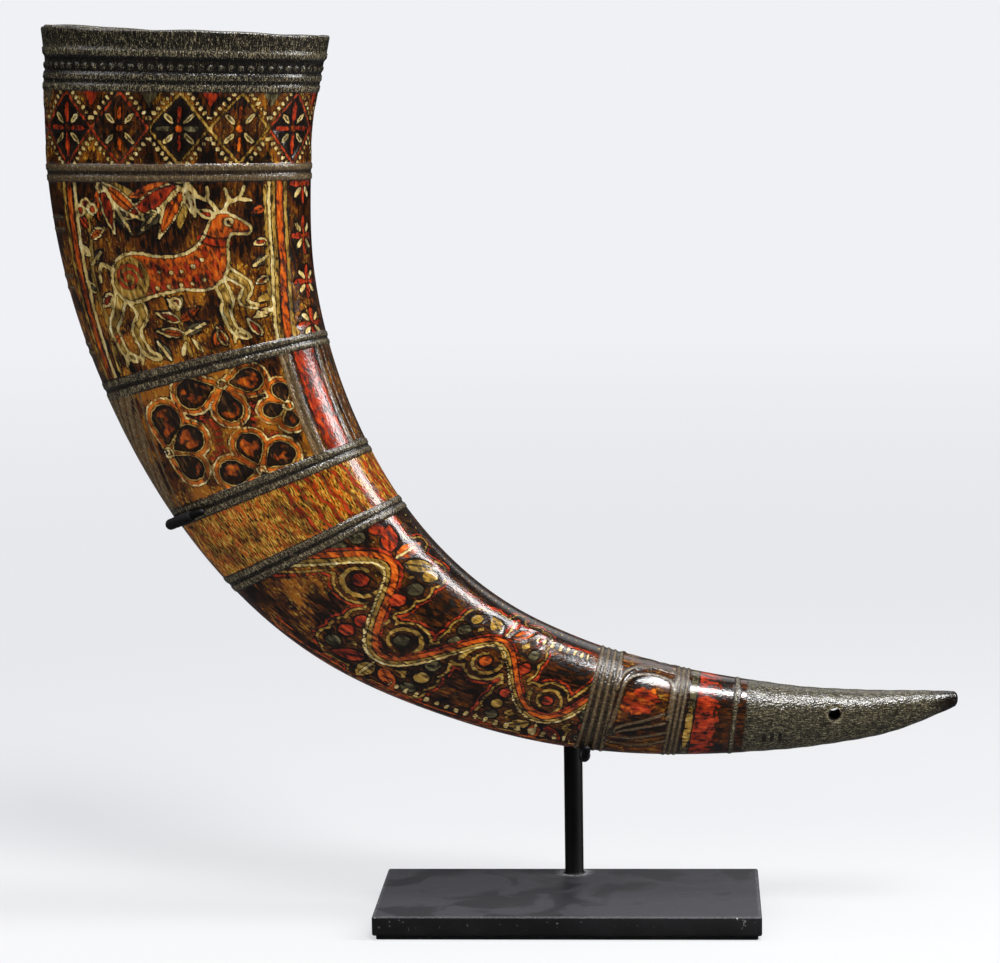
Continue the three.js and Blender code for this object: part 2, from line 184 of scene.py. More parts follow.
# %% Studio floor
BACKDROP_NEAR, BACKDROP_FAR = "#e7e8ec", "#f0f1f5"
FLOOR_GLOW, FLOOR_REAR, FLOOR_LIFT = "#fafbfd", "#ecedf1", 0.6
SWEEP_PAPER, SWEEP_MIRRORED, DARK_STUDIO = "#c3c3c4", "#3c3c3d", "#0a0a0a"
FLOOR_HALF = 9000.0
# Where each change of the floor starts and ends, in metres: behind the middle, then away from it.
TO_REAR, FADE, TO_FAR, SWEEP_END = (0.0, 0.16), (0.25, 0.75), (0.7, 2.4), (0.45, 0.8)

floor_material, add = new_material("studio_floor")
place = add("TexCoord", out=3)
level = add("VectorMath", (place, (1, 1, 0)), operation="MULTIPLY")
away = add("VectorMath", (level,), out=1, operation="LENGTH")
depth = add("SeparateXYZ", (place,), out=1)
to_camera = add("LightPath", out="Is Camera Ray")
mirrored = add("LightPath", out="Is Glossy Ray")
unseen = add("Math", (1.0, to_camera), operation="SUBTRACT")
beyond = add("Times", (add("Smooth", (away, *SWEEP_END)), unseen))
paper = add("Blend", (beyond, SWEEP_PAPER, DARK_STUDIO))
paper = add("Blend", (mirrored, paper, SWEEP_MIRRORED))
matte = add("BsdfDiffuse", {"Color": paper})
rearward = add("Smooth", (depth, *TO_REAR))
backdrop = add("Blend", (rearward, FLOOR_GLOW, FLOOR_REAR))
for span, tone in ((FADE, BACKDROP_NEAR), (TO_FAR, BACKDROP_FAR)):
    outward = add("Smooth", (away, *span))
    backdrop = add("Blend", (outward, backdrop, tone))
glow = add("Emission", {"Color": backdrop})
lifted = add("Smooth", (away, *FADE, FLOOR_LIFT, 1.0))
lifted = add("Times", (lifted, to_camera))
add("OutputMaterial", {"Surface": add("MixShader", (lifted, matte, glow))})

floor_corners = np.array([[-1, -1, 0], [1, -1, 0], [1, 1, 0], [-1, 1, 0]]) * FLOOR_HALF
floor = mesh_object("floor", floor_corners, [np.array([[0, 1, 2, 3]])])
floor.data.materials.append(floor_material)
print("floor of", 2 * FLOOR_HALF * MM, "m a side")

# %% World and lamps
AMBIENT = 0.05
LAMP_AIM = np.array([0.0, 0.0, 0.15])
LAMPS = {  # azimuth and elevation in degrees, distance and sizes in metres, watts
    "soft_box_right": (83, 38, 1.9, (0.45, 1.8), 40),
    "soft_box_front": (22, 57, 1.8, (0.6, 0.6), 31),
    "soft_box_above": (-80, 78, 1.8, (1.6, 1.6), 15),
    "fill_left": (-60, 38, 2.4, (1.2, 1.2), 11),
    "fill_back": (165, 35, 2.4, (1.4, 1.4), 6),
}

world = bpy.data.worlds.new("studio")
scene.world = world
world.use_nodes = True
world.node_tree.nodes.clear()
add = functools.partial(node, world.node_tree)
to_camera = add("LightPath", out="Is Camera Ray")
ambient = add("Background", {"Color": "#ffffff", "Strength": AMBIENT})
far_wall = add("Background", {"Color": BACKDROP_FAR, "Strength": 1.0})
add("OutputWorld", {"Surface": add("MixShader", (to_camera, ambient, far_wall))})


def soft_box(name, azimuth, elevation, distance, size, watts):
    """Area lamp in a direction from the horn's middle, facing it. Azimuth 0 is in front."""
    turn, rise = np.radians([azimuth, elevation])
    toward = np.array([np.sin(turn) * np.cos(rise), -np.cos(turn) * np.cos(rise), np.sin(rise)])
    side = np.cross([0, 0, 1], toward)
    side /= np.linalg.norm(side)
    data = bpy.data.lights.new(name, "AREA")
    data.shape = "RECTANGLE"
    data.size, data.size_y = size
    data.energy = watts
    lamp = bpy.data.objects.new(name, data)
    matrix = np.eye(4)
    matrix[:3] = np.stack([side, np.cross(toward, side), toward, toward * distance + LAMP_AIM], -1)
    lamp.matrix_world = Matrix(matrix.tolist())
    scene.collection.objects.link(lamp)


for name, lamp in LAMPS.items():
    soft_box(name, *lamp)
print("lamps:", ", ".join(LAMPS))

# %% [markdown]
# ## The horn's form
# A horn is a bent, tapering tube. Its centreline was measured at sixteen stations from the rim to the tip,
# with the section's width, depth and lean at each, as in the construction. A natural spline runs through
# each measure, and each section is a superellipse, a little squarer than an ellipse. A point on the skin is
# named by s, the distance from the rim in mm, and w, quarter turns round the section by length: -1 is the
# outer edge, 0 the front, 1 the inner edge, 2 the back and 3 the outer edge again.

# %% Stations and sections
STATIONS = {  # x, z, width, lean in degrees, depth, tip in degrees
    "rim": (-121.5, 295, 94, -3, 58, 0),
    "neck": (-122, 286.5, 91.5, -2, 57, 0),
    "collar": (-123.3, 277, 89.5, -1.5, 56, 0),
    "ring_1": (-124.7, 249.5, 86, -0.5, 54.5, 1),
    "panel": (-122.5, 219.5, 81.5, 2.5, 52, 3),
    "ring_2": (-114, 186, 75, 13.5, 49, 5),
    "ring_3": (-96.5, 147, 68, 21, 45.5, 5),
    "ring_4": (-82.5, 126.5, 63.5, 25.5, 42.5, 4),
    "scroll_a": (-57, 102, 54.5, 36, 38, 2),
    "scroll_b": (-25, 84.5, 43, 51, 32, 0),
    "ring_5": (11, 73.5, 34, 76, 27, 0),
    "ring_6": (36, 69.5, 29, 79, 24, 0),
    "ring_7": (55, 68, 25, 83, 21, 0),
    "hole": (88, 67.7, 18, 89, 15.5, 0),
    "taper": (111, 70, 12.3, 90, 11, 0),
    "tip": (127, 73.2, 5.3, 92, 5, 0),
}
SECTION_POWER = 2.3
station_rows = np.array(list(STATIONS.values()))
station_s = np.append(0, np.cumsum(np.hypot(*np.diff(station_rows[:, :2], axis=0).T)))
AT = dict(zip(STATIONS, station_s))
HORN_LENGTH = station_s[-1]


def natural_spline(knots, values):
    """Cubic pieces whose second derivatives solve the equations of equal slopes, and are 0 at the ends."""
    gap = np.diff(knots)
    system = np.eye(len(knots))
    inner = np.arange(1, len(knots) - 1)
    system[inner, inner - 1] = gap[:-1]
    system[inner, inner] = 2 * (gap[:-1] + gap[1:])
    system[inner, inner + 1] = gap[1:]
    right = np.zeros_like(values)
    right[1:-1] = 6 * np.diff(np.diff(values, axis=0) / gap[:, None], axis=0)
    bend = np.linalg.solve(system, right)

    def at(where):
        i = np.clip(np.searchsorted(knots, where) - 1, 0, len(gap) - 1)
        h = gap[i][:, None]
        a = (knots[i + 1] - where)[:, None]
        b = (where - knots[i])[:, None]
        cubic = (bend[i] * a**3 + bend[i + 1] * b**3) / (6 * h)
        return cubic + (values[i] / h - bend[i] * h / 6) * a + (values[i + 1] / h - bend[i + 1] * h / 6) * b

    return at


measures = natural_spline(station_s, station_rows)


def section(s):
    """Centres, directions across and to the back, and half sizes of the sections at s."""
    x, z, width, lean, depth, tip = measures(np.asarray(s, float)).T
    lean, tip = np.radians(lean), np.radians(tip)
    none = np.zeros_like(x)
    across = np.stack([np.cos(lean), none, np.sin(lean)], -1)
    to_rim = np.stack([-np.sin(lean), none, np.cos(lean)], -1)
    to_back = np.stack([none, np.cos(tip), none], -1) - np.sin(tip)[:, None] * to_rim
    centre = np.stack([x, none, z], -1)
    return {"centre": centre, "across": across, "to_back": to_back, "half": np.stack([width, depth]) / 2}


def signed_power(value, power):
    """The value's size raised to a power, with its sign kept."""
    return np.sign(value) * np.abs(value) ** power


def on_section(place, angle, out=0.0):
    """Superellipse u = a |cos|^(2/n), v = b |sin|^(2/n), moved out along its normal by a distance."""
    share = 2 / SECTION_POWER
    c, d = np.cos(angle), np.sin(angle)
    a, b = place["half"]
    normal = np.stack([signed_power(c, 2 - share) / a, signed_power(d, 2 - share) / b])
    normal = normal / np.linalg.norm(normal, axis=0)
    u = a * signed_power(c, share) + out * normal[0]
    v = b * signed_power(d, share) + out * normal[1]
    return place["centre"] + place["across"] * u[:, None] + place["to_back"] * v[:, None]


# Length along a quarter of the outline, tabled by the section's depth over its width.
ASPECT_FROM, ASPECT_TO, ASPECT_STEPS, QUARTER_STEPS = 0.5, 1.1, 61, 400
aspects = np.linspace(ASPECT_FROM, ASPECT_TO, ASPECT_STEPS)
quarter_angles = np.linspace(0, np.pi / 2, QUARTER_STEPS)
quarter_u = np.cos(quarter_angles) ** (2 / SECTION_POWER)
quarter_v = aspects[:, None] * np.sin(quarter_angles) ** (2 / SECTION_POWER)
quarter_steps = np.hypot(np.diff(quarter_u), np.diff(quarter_v))
quarter_reach = np.concatenate([np.zeros((len(aspects), 1)), np.cumsum(quarter_steps, 1)], 1)
quarter_length = quarter_reach[:, -1]
quarter_table = (quarter_reach / quarter_length[:, None] + 2 * np.arange(len(aspects))[:, None]).ravel()
angle_table = np.tile(quarter_angles, len(aspects))


def quarter_of(s):
    """Length in mm of a quarter of the outline at s."""
    a, b = section(s)["half"]
    return a * np.interp(b / a, aspects, quarter_length)


def outline_angle(place, w):
    """Angle of the superellipse at w quarter turns by length, between the table's two nearest aspects."""
    a, b = place["half"]
    step = (b / a - aspects[0]) / (aspects[1] - aspects[0])
    low = np.floor(step)
    quadrant = np.floor(w).astype(int) % 4
    part = w - np.floor(w)
    part = np.where(quadrant % 2 == 0, 1 - part, part)
    under = np.interp(part + 2 * low, quarter_table, angle_table)
    over = np.interp(part + 2 * (low + 1), quarter_table, angle_table)
    turn = under + (over - under) * (step - low)
    return np.where(quadrant % 2 == 0, -turn, turn) + np.where(quadrant >= 2, np.pi, 0)


def on_horn(s, w, out=0.0, inset=0.0):
    """Points of the horn's skin, moved out by a distance, on sections drawn in by an inset."""
    place = section(s)
    angle = outline_angle(place, w)
    place["half"] = place["half"] - inset
    return on_section(place, angle, out)


print("horn length along the centreline:", round(HORN_LENGTH, 1), "mm")

# %% [markdown]
# ## Rows and columns of the skin
# The skin is one closed grid: rows of points round the horn, from the closed end of the hollow up to the
# rim, over the lip and down the outside to the tip. The carving needs points about 0.65 mm apart on the
# front, fewer at the back, and fewer columns as the horn grows thin, so the outside is made in blocks. Two
# blocks with unlike counts are joined by a zip of triangles, each edge reaching to the nearest point
# across.

# %% Ridges, rows and columns
RIDGE_SLOPE = 0.5
RING_RIDGES = {  # places of the ridges about each station, width of each flat top, and rise
    "neck": ((-1.2,), 1.6, 0.36),
    "collar": ((-3.4, 0.2), 1.6, 0.32),
    "ring_1": ((-1.7, 1.7), 1.4, 0.32),
    "ring_2": ((-1.6, 1.6), 1.4, 0.32),
    "ring_3": ((-1.6, 1.6), 1.4, 0.32),
    "ring_4": ((-1.6, 1.6), 1.4, 0.32),
    "ring_5": ((-3.6, -1.2, 1.2, 3.6), 0.5, 0.3),
    "ring_6": ((-1.7, 0, 1.7), 0.4, 0.28),
    "ring_7": ((0,), 0.6, 0.25),
}
ridges = [(AT[name] + past, top, rise)
          for name, (places, top, rise) in RING_RIDGES.items() for past in places]


def ridge_share(s):
    """Share of each ridge at s: 1 over its flat top, falling to 0 over the slope at either side."""
    middle, top, _ = np.array(ridges).T
    beyond = np.abs(s[:, None] - middle) - top / 2
    return np.clip(1 - beyond / RIDGE_SLOPE, 0, 1)


RIM_ROUND, MOUTH_WALL, DEEP_WALL, CAVITY_LENGTH, TAPER_POWER = 0.9, 4.0, 6.5, 236.0, 5
HOLE_RADIUS, HOLE_RISE, HOLE_STEP, HOLE_CELLS, HOLE_ROWS, HOLE_ZONE = 1.9, 2.2, 0.62, 3, 6, 5.0
ROW_CLEAR = 0.25
# From, to and spacing of the rows between the ridges.
ROW_PLAN = [
    (1.6, 6, 1.1), (9.2, 14, 0.48), (20.2, 42.6, 0.62), (48.6, 107.2, 0.7),
    (113.4, 150, 0.68), (156.2, 174.8, 0.95), (180.8, 282.6, 0.78), (292.2, 309.8, 0.7),
    (315.6, 331, 1.2), (333.2, 338, 1.2), (338.6, 350, 0.7),
    (351.5, AT["hole"] - HOLE_ZONE, 1.5), (AT["hole"] + HOLE_ZONE, HORN_LENGTH, 1.5),
]
# Each block starts at a distance from the rim, with a number of columns on the front and on the back.
BLOCKS = [
    (0, 186, 80), (AT["ring_2"], 142, 64), (AT["ring_4"], 108, 50), (232, 82, 40),
    (AT["ring_5"], 62, 36), (AT["ring_7"] + 1.6, 40, 40),
]


def outer_rows():
    """Distances from the rim of the rows outside: the plan's even rows, and marks at each ridge's edges."""
    even = np.concatenate([np.linspace(a, b, int(round((b - a) / step)) + 1) for a, b, step in ROW_PLAN])
    marks = [middle + side * (top / 2 + more) for middle, top, _ in ridges for side in (-1, 1)
             for more in (0, RIDGE_SLOPE)]
    hole = AT["hole"] + HOLE_STEP * np.arange(-HOLE_ROWS, HOLE_ROWS + 1)
    marks = np.concatenate([marks, hole, [start for start, _, _ in BLOCKS[1:]]])
    clear = np.abs(even[:, None] - marks).min(1) > ROW_CLEAR
    return np.sort(np.concatenate([even[clear], marks]))


def turns(front, back):
    """Quarter turns of a ring's columns, closing on the first: front from -1 to 1, back from 1 to 3."""
    return np.concatenate([np.linspace(-1, 1, front + 1), np.linspace(1, 3, back + 1)[1:]])


# The chain of rings. Each has s and w, its block, and its wall in the hollow or how far it is drawn in.
rings = []
CAVITY_ROWS, CAVITY_TURNS = 28, turns(40, 40)
LIP_INSIDE, LIP_FLAT, LIP_OUTSIDE = (65, 30, 0), (2.4, 1.7), (90, 60, 30, 0)
for share in np.sin(np.linspace(1, 0, CAVITY_ROWS)[1:] * np.pi / 2):
    rings.append({"block": -1, "w": CAVITY_TURNS, "share": share,
                  "s": RIM_ROUND + (CAVITY_LENGTH - RIM_ROUND) * share,
                  "wall": MOUTH_WALL + (DEEP_WALL - MOUTH_WALL) * share})
lip_turns = turns(*BLOCKS[0][1:])
lip = [(RIM_ROUND * (1 - np.cos(bend)), MOUTH_WALL - RIM_ROUND * (1 - np.sin(bend)))
       for bend in np.radians(LIP_INSIDE)]
lip += [(0.0, inset) for inset in LIP_FLAT]
lip += [RIM_ROUND * (1 - np.array([np.sin(bend), np.cos(bend)])) for bend in np.radians(LIP_OUTSIDE)]
for row, inset in lip:
    rings.append({"block": 0, "w": lip_turns, "s": row, "inset": inset})
block_starts = np.array([start for start, _, _ in BLOCKS])
for row in outer_rows():
    block = np.searchsorted(block_starts, row + 1e-6) - 1
    rings.append({"block": block, "w": turns(*BLOCKS[block][1:]), "s": row, "outer": True})
print(len(rings), "rings of points")

# %% [markdown]
# ## Joining the rings
# Every ring is kept with its last point repeated at its first, so that a flat map of the skin can be cut
# open there. The faces are worked out on that flat map, and the repeated points are then merged.

# %% Faces between rings
ring_size = np.array([len(ring["w"]) for ring in rings])
ring_first = np.cumsum(ring_size) - ring_size
flat_s = np.repeat([float(ring["s"]) for ring in rings], ring_size)
flat_w = np.concatenate([ring["w"] for ring in rings])
flat_ring = np.repeat(np.arange(len(rings)), ring_size)
flat_count = len(flat_s)


def between_rings(i):
    """Faces from ring i to the next: squares where the counts are equal, else a zip of triangles."""
    first, after = ring_first[i], ring_first[i + 1]
    here, there = rings[i]["w"], rings[i + 1]["w"]
    k = np.arange(len(here) - 1)
    if len(here) == len(there):
        return np.stack([first + k, after + k, after + k + 1, first + k + 1], -1)
    mid_here, mid_there = (here[1:] + here[:-1]) / 2, (there[1:] + there[:-1]) / 2
    m = np.arange(len(there) - 1)
    reach_there = after + np.searchsorted(mid_there, mid_here, side="left")
    reach_here = first + np.searchsorted(mid_here, mid_there, side="right")
    upper = np.stack([first + k, reach_there, first + k + 1], -1)
    lower = np.stack([after + m, after + m + 1, reach_here], -1)
    return np.concatenate([upper, lower])


bands = [between_rings(i) for i in range(len(rings) - 1)]
squares = np.concatenate([band for band in bands if band.shape[1] == 4])
zips = np.concatenate([band for band in bands if band.shape[1] == 3])
print(len(squares), "squares and", len(zips), "zip triangles")

# %% [markdown]
# ## The hole through the tip
# A thong hole is drilled through the solid tip. A Boolean cut would work, but it leaves ragged faces and
# shading marks, so the grid itself is opened: a patch of squares is left out at the front and at the back,
# the rows and columns near it are eased on to a circle, and a short tube joins the two openings.

# %% Hole through the tip
HOLE_TRIALS, EASE_RINGS, EASE_SPREAD = 501, 3, 0.9
tip_block = len(BLOCKS) - 1
tip_front = BLOCKS[tip_block][1]
hole_place = section([AT["hole"]])
hole_share = HOLE_RISE / hole_place["half"][0, 0]
hole_turn = np.arccos(hole_share ** (SECTION_POWER / 2))
trial = np.linspace(0, 1, HOLE_TRIALS)
trial_place = section(np.full(HOLE_TRIALS, AT["hole"]))
hole_w = np.interp(-hole_turn, outline_angle(trial_place, trial), trial)
column_step = 2 / tip_front
hole_column = int(round((hole_w + 1) / column_step))
hole_reach = (HOLE_CELLS + 0.5) * HOLE_STEP
hole_rings = np.array([i for i, ring in enumerate(rings)
                       if ring.get("outer") and abs(ring["s"] - AT["hole"]) < hole_reach])
in_tip = np.array([ring["block"] == tip_block for ring in rings])[flat_ring]
quarter_flat = quarter_of(np.clip(flat_s, 0, HORN_LENGTH))

for side_w in (hole_w, 2 - hole_w):
    grid_w = round((side_w + 1) / column_step) * column_step - 1
    across = (flat_w - grid_w) / (HOLE_CELLS * column_step)
    along = (flat_s - AT["hole"]) / (HOLE_CELLS * HOLE_STEP)
    ring_number = np.maximum(np.abs(across), np.abs(along))
    near = in_tip & (ring_number < EASE_RINGS)
    spread = np.maximum(np.hypot(across, along), 1e-6)
    reach = HOLE_RADIUS * (1 + EASE_SPREAD * (ring_number - 1))
    pull = np.clip((EASE_RINGS - ring_number) / (EASE_RINGS - 1), 0, 1)
    round_w = side_w + reach * across / spread / quarter_flat
    round_s = AT["hole"] + reach * along / spread
    flat_w = np.where(near, flat_w + (round_w - flat_w) * pull, flat_w)
    flat_s = np.where(near, flat_s + (round_s - flat_s) * pull, flat_s)


def patch_border(column):
    """Points round a patch of the tip's grid, in order, from its low corner."""
    n = 2 * HOLE_CELLS
    rows = ring_first[hole_rings]
    columns = column - HOLE_CELLS + np.arange(n + 1)
    return np.concatenate([rows[0] + columns[:-1], rows[:-1] + columns[-1],
                           rows[-1] + columns[:0:-1], rows[:0:-1] + columns[0]])


front_border = patch_border(hole_column)
tip_columns = sum(BLOCKS[tip_block][1:])
back_border = 2 * ring_first[flat_ring[front_border]] + tip_columns - front_border
square_ring = flat_ring[squares[:, 0]]
square_column = squares[:, 0] - ring_first[square_ring]
in_rows = (square_ring >= hole_rings[0]) & (square_ring < hole_rings[-1])
for column in (hole_column, tip_columns - hole_column):
    left_out = in_rows & (square_column >= column - HOLE_CELLS) & (square_column < column + HOLE_CELLS)
    squares, in_rows = squares[~left_out], in_rows[~left_out]
    square_column = square_column[~left_out]
print("hole at w =", round(float(hole_w), 3), "with", len(front_border), "sides")

# %% [markdown]
# ## Where the ornaments lie
# The carving and the paint follow the horn's own skin, so they are drawn on its flat map: a is the length
# in mm round the horn from the front's middle line, b the same from the back's, and s runs from the rim. A
# painted shape is kept as a signed distance in mm from its edge, below zero inside. Distances stay smooth
# between the points of the skin, so the shader can draw a crisp edge where one passes zero, and roughen it
# as a brush would. Image textures would need files; painting by shader nodes alone would need hundreds.

# %% Flat map and layers
s, w = flat_s, flat_w
quarter = quarter_of(np.clip(s, 0, HORN_LENGTH))
a = np.where(w < 2, w, w - 4) * quarter
b = np.where(w < 0, w + 2, w - 2) * quarter
outer = np.array([bool(ring.get("outer")) for ring in rings])[flat_ring]
FAR = 4.0
LAYERS = ("cream", "ochre", "orange", "red", "black", "olive", "petal", "raw", "ink")
paint = {name: np.full(flat_count, FAR) for name in LAYERS}
carve = np.zeros(flat_count)
warmth = np.zeros(flat_count)
fleck = np.zeros(flat_count)


def zone(low, high):
    """Numbers of the outside's points between two distances from the rim."""
    return np.flatnonzero(outer & (s > low) & (s < high))


def lay(points, where=True, **shapes):
    """Adds a shape to each layer named, where a condition holds. A layer keeps the lesser distance."""
    for layer, distance in shapes.items():
        paint[layer][points] = np.minimum(paint[layer][points], np.where(where, distance, FAR))


def cut(points, distance, depth, soft=0.35):
    """Cuts a shape in by a depth, or raises it by a negative one, with a slope at its edge."""
    carve[points] -= depth * np.clip(0.5 - distance / (2 * soft), 0, 1)


def curve(points, closed=False, steps=7):
    """Catmull-Rom curve: cubic between points, its slope at each half the step between its neighbours."""
    p = np.asarray(points, float)
    ring = np.concatenate([p[-1:], p, p[:2]]) if closed else np.concatenate([p[:1], p, p[-1:]])
    p0, p1, p2, p3 = ring[:-3, None], ring[1:-2, None], ring[2:-1, None], ring[3:, None]
    t = (np.arange(steps) / steps)[:, None]
    square, cube = 2 * p0 - 5 * p1 + 4 * p2 - p3, 3 * (p1 - p2) + p3 - p0
    bend = 2 * p1 + (p2 - p0) * t + square * t**2 + cube * t**3
    return np.concatenate([(bend / 2).reshape(-1, 2), p[:1] if closed else p[-1:]])


def to_line(x, y, line):
    """Distance to a chain of straight steps, and how far along the chain the nearest place is, 0 to 1."""
    start, step = line[:-1], np.diff(line, axis=0)
    size = np.maximum((step**2).sum(1), 1e-9)
    off_x, off_y = x[:, None] - start[:, 0], y[:, None] - start[:, 1]
    along = np.clip((off_x * step[:, 0] + off_y * step[:, 1]) / size, 0, 1)
    gap = np.hypot(off_x - along * step[:, 0], off_y - along * step[:, 1])
    nearest = gap.argmin(1)
    each = np.arange(len(x))
    return gap[each, nearest], (nearest + along[each, nearest]) / len(step)


def stroke(x, y, points, width, end_width=None, smooth=True):
    """Distance from the edge of a brush stroke through points, whose width may change to its end."""
    line = curve(points) if smooth and len(points) > 2 else np.asarray(points, float)
    gap, along = to_line(x, y, line)
    end = width if end_width is None else end_width
    return gap - (width + (end - width) * along) / 2


def filled(x, y, line):
    """Signed distance from a closed line, below zero where a ray to the right crosses it an odd number of
    times."""
    gap, _ = to_line(x, y, line)
    y0, y1, x0, x1 = line[:-1, 1], line[1:, 1], line[:-1, 0], line[1:, 0]
    level = (y0 > y[:, None]) != (y1 > y[:, None])
    cross_x = x0 + (y[:, None] - y0) * (x1 - x0) / np.where(y1 == y0, 1e-9, y1 - y0)
    odd = (level & (x[:, None] < cross_x)).sum(1) % 2 == 1
    return np.where(odd, -gap, gap)


def leaf(x, y, foot, turn, length, width):
    """Pointed leaf: half its width times the sine of the way along it, from its foot at an angle."""
    c, d = np.cos(np.radians(turn)), np.sin(np.radians(turn))
    along = (x - foot[0]) * c + (y - foot[1]) * d
    side = (y - foot[1]) * c - (x - foot[0]) * d
    share = np.clip(along / length, 0, 1)
    return np.hypot(side, along - share * length) - width / 2 * np.sin(np.pi * share**0.8)


def oval(x, y, half_x, half_y):
    """Nearly the distance from an ellipse: its scaled radius less 1, times its smaller half."""
    return (np.hypot(x / half_x, y / half_y) - 1) * min(half_x, half_y)


def drop(x, y, foot, end, foot_round, end_round):
    """Distance from a teardrop, the hull of two circles: straight flanks between two round ends."""
    axis = np.subtract(end, foot)
    length = np.hypot(*axis)
    along = ((x - foot[0]) * axis[0] + (y - foot[1]) * axis[1]) / length
    side = np.abs((y - foot[1]) * axis[0] - (x - foot[0]) * axis[1]) / length
    lean = (foot_round - end_round) / length
    upright = np.sqrt(1 - lean**2)
    flank = along * upright - side * lean
    by_foot = np.hypot(side, along) - foot_round
    by_end = np.hypot(side, along - length) - end_round
    by_flank = side * upright + along * lean - foot_round
    return np.where(flank < 0, by_foot, np.where(flank > upright * length, by_end, by_flank))


def warm_spot(points, centre, half_a, half_s):
    """Bell-shaped spot on the flat map: e to minus the squared distance, scaled on each axis."""
    return np.exp(-(((a[points] - centre[0]) / half_a) ** 2 + ((s[points] - centre[1]) / half_s) ** 2))


print("layers of paint:", ", ".join(LAYERS))

# %% [markdown]
# ## Bare horn: lip, bead row, rings and tip
# At the lip, the rings and the tip the horn was left bare, grey and speckled. A dark groove below the lip
# holds a row of small carved beads. Beads could be separate balls, but real ones are cut from the horn, so
# the skin itself is raised by half a ball where each bead sits.

# %% Bare horn
LIP_BAND, RING_1_BAND, TIP_BAND = (-9.0, 19.4), (42.7, 48.5), (335.2, 500.0)
RING_MARGINS = {  # bare horn before and past the middle of each other ring
    "ring_2": (2.9, 2.9), "ring_3": (2.9, 2.9), "ring_4": (2.9, 2.9),
    "ring_5": (4.4, 4.4), "ring_6": (2.6, 2.4), "ring_7": (0.9, 0.9),
}
raw_bands = [(AT[name] - before, AT[name] + past) for name, (before, past) in RING_MARGINS.items()]
everywhere = np.arange(flat_count)
for low, high in (LIP_BAND, RING_1_BAND, TIP_BAND, *raw_bands):
    lay(everywhere, raw=np.abs(s - (low + high) / 2) - (high - low) / 2)

BEAD_ROW, BEAD_COUNT, BEAD_RADIUS, BEAD_RISE = 11.7, 75, 1.05, 0.5
GROOVE, GROOVE_DEPTH = (8.9, 14.1), 0.3
k = zone(GROOVE[0] - 1, GROOVE[1] + 1)
bead_turn = w[k] * BEAD_COUNT / 4
bead_x = (bead_turn - np.round(bead_turn)) * 4 * quarter[k] / BEAD_COUNT
bead_gap = np.hypot(bead_x, s[k] - BEAD_ROW)
carve[k] += BEAD_RISE * np.sqrt(np.clip(1 - (bead_gap / BEAD_RADIUS) ** 2, 0, 1))
groove = np.abs(s[k] - np.mean(GROOVE)) - np.ptp(GROOVE) / 2
lay(k, ink=np.maximum(groove, BEAD_RADIUS - bead_gap))
cut(k, groove, GROOVE_DEPTH)

# The tip is scraped by hand: shallow dents by two crossed waves, three cuts, and a worn edge at the hole.
TIP_ZONE, DENTS_FROM, DENT_DEPTH = 330.0, 336.0, 0.12
k = zone(TIP_ZONE, HORN_LENGTH)
scraped = np.sin(w[k] * 7.1 + s[k] * 0.31) * np.sin(s[k] * 0.53 + w[k] * 2.3)
carve[k] += DENT_DEPTH * scraped * (s[k] > DENTS_FROM)
TIP_CUTS, TIP_CUT_A, TIP_CUT_LONG, TIP_CUT_HALF = (342.0, 344.5, 347.1), -5.5, 2.6, 0.62
for cut_s in TIP_CUTS:
    past_end = np.maximum(np.abs(a[k] - TIP_CUT_A) - TIP_CUT_LONG / 2, 0)
    notch = np.hypot(past_end, s[k] - cut_s) - TIP_CUT_HALF
    lay(k, ink=notch)
    cut(k, notch, 0.25, soft=0.3)
HOLE_WORN, HOLE_DARK = 0.7, 0.3
to_holes = [np.hypot((w - side_w) * quarter, s - AT["hole"]) for side_w in (hole_w, 2 - hole_w)]
from_hole = np.minimum(*to_holes) - HOLE_RADIUS
cut(k, from_hole[k] - HOLE_WORN, 0.4, soft=0.6)
# A dark ring just round the hole is painted shade.
lay(k, ink=from_hole[k] - HOLE_DARK)
print("bands of bare horn:", 3 + len(raw_bands), "with", BEAD_COUNT, "beads")

# %% [markdown]
# ## Lattice of rosettes
# Below the lip runs a band of twelve diamonds. Crossing strips part them, each diamond holds a rosette of
# eight petals on a black or a brown ground, and rows of punched dots follow the strips in the triangles
# between. Twelve drawings could be placed one by one; here one diamond is drawn, folded over on both axes,
# and w repeats it round the horn, with the number of the cell choosing its paints.

# %% Lattice band
LATTICE, LATTICE_MIDDLE, LATTICE_TALL = (19.4, 42.9), 31.2, 11.6
LATTICE_CELLS, LATTICE_PHASE, LATTICE_KINDS = 12, 0.07, 5
STRIP_HALF, RED_IN, OCHRE_IN, BLACK_IN, GROUND_IN, GROUND_DEPTH = 0.55, 0.2, 0.16, 0.9, 1.0, 0.28
k = zone(*LATTICE)
cell_turn = (w[k] - LATTICE_PHASE) * LATTICE_CELLS / 4
cell = np.round(cell_turn)
half = 2 * quarter[k] / LATTICE_CELLS
x = (cell_turn - cell) * 2 * half
y = LATTICE_MIDDLE - s[k]
over, up = np.abs(x), np.abs(y)
edge = np.hypot(half, LATTICE_TALL)
strip = (over * LATTICE_TALL + up * half - half * LATTICE_TALL) / edge
along = (over * half + (LATTICE_TALL - up) * LATTICE_TALL) / edge
kind = (cell + 2) % LATTICE_KINDS
black_ground = kind % 2 == 0
reddish = (kind < 2) | (kind == 4)
band = np.abs(strip) - STRIP_HALF
lay(k, reddish, olive=band, red=band + RED_IN)
lay(k, ~reddish, ochre=band + OCHRE_IN)
lay(k, black_ground, black=strip + BLACK_IN)
cut(k, strip + GROUND_IN, GROUND_DEPTH)

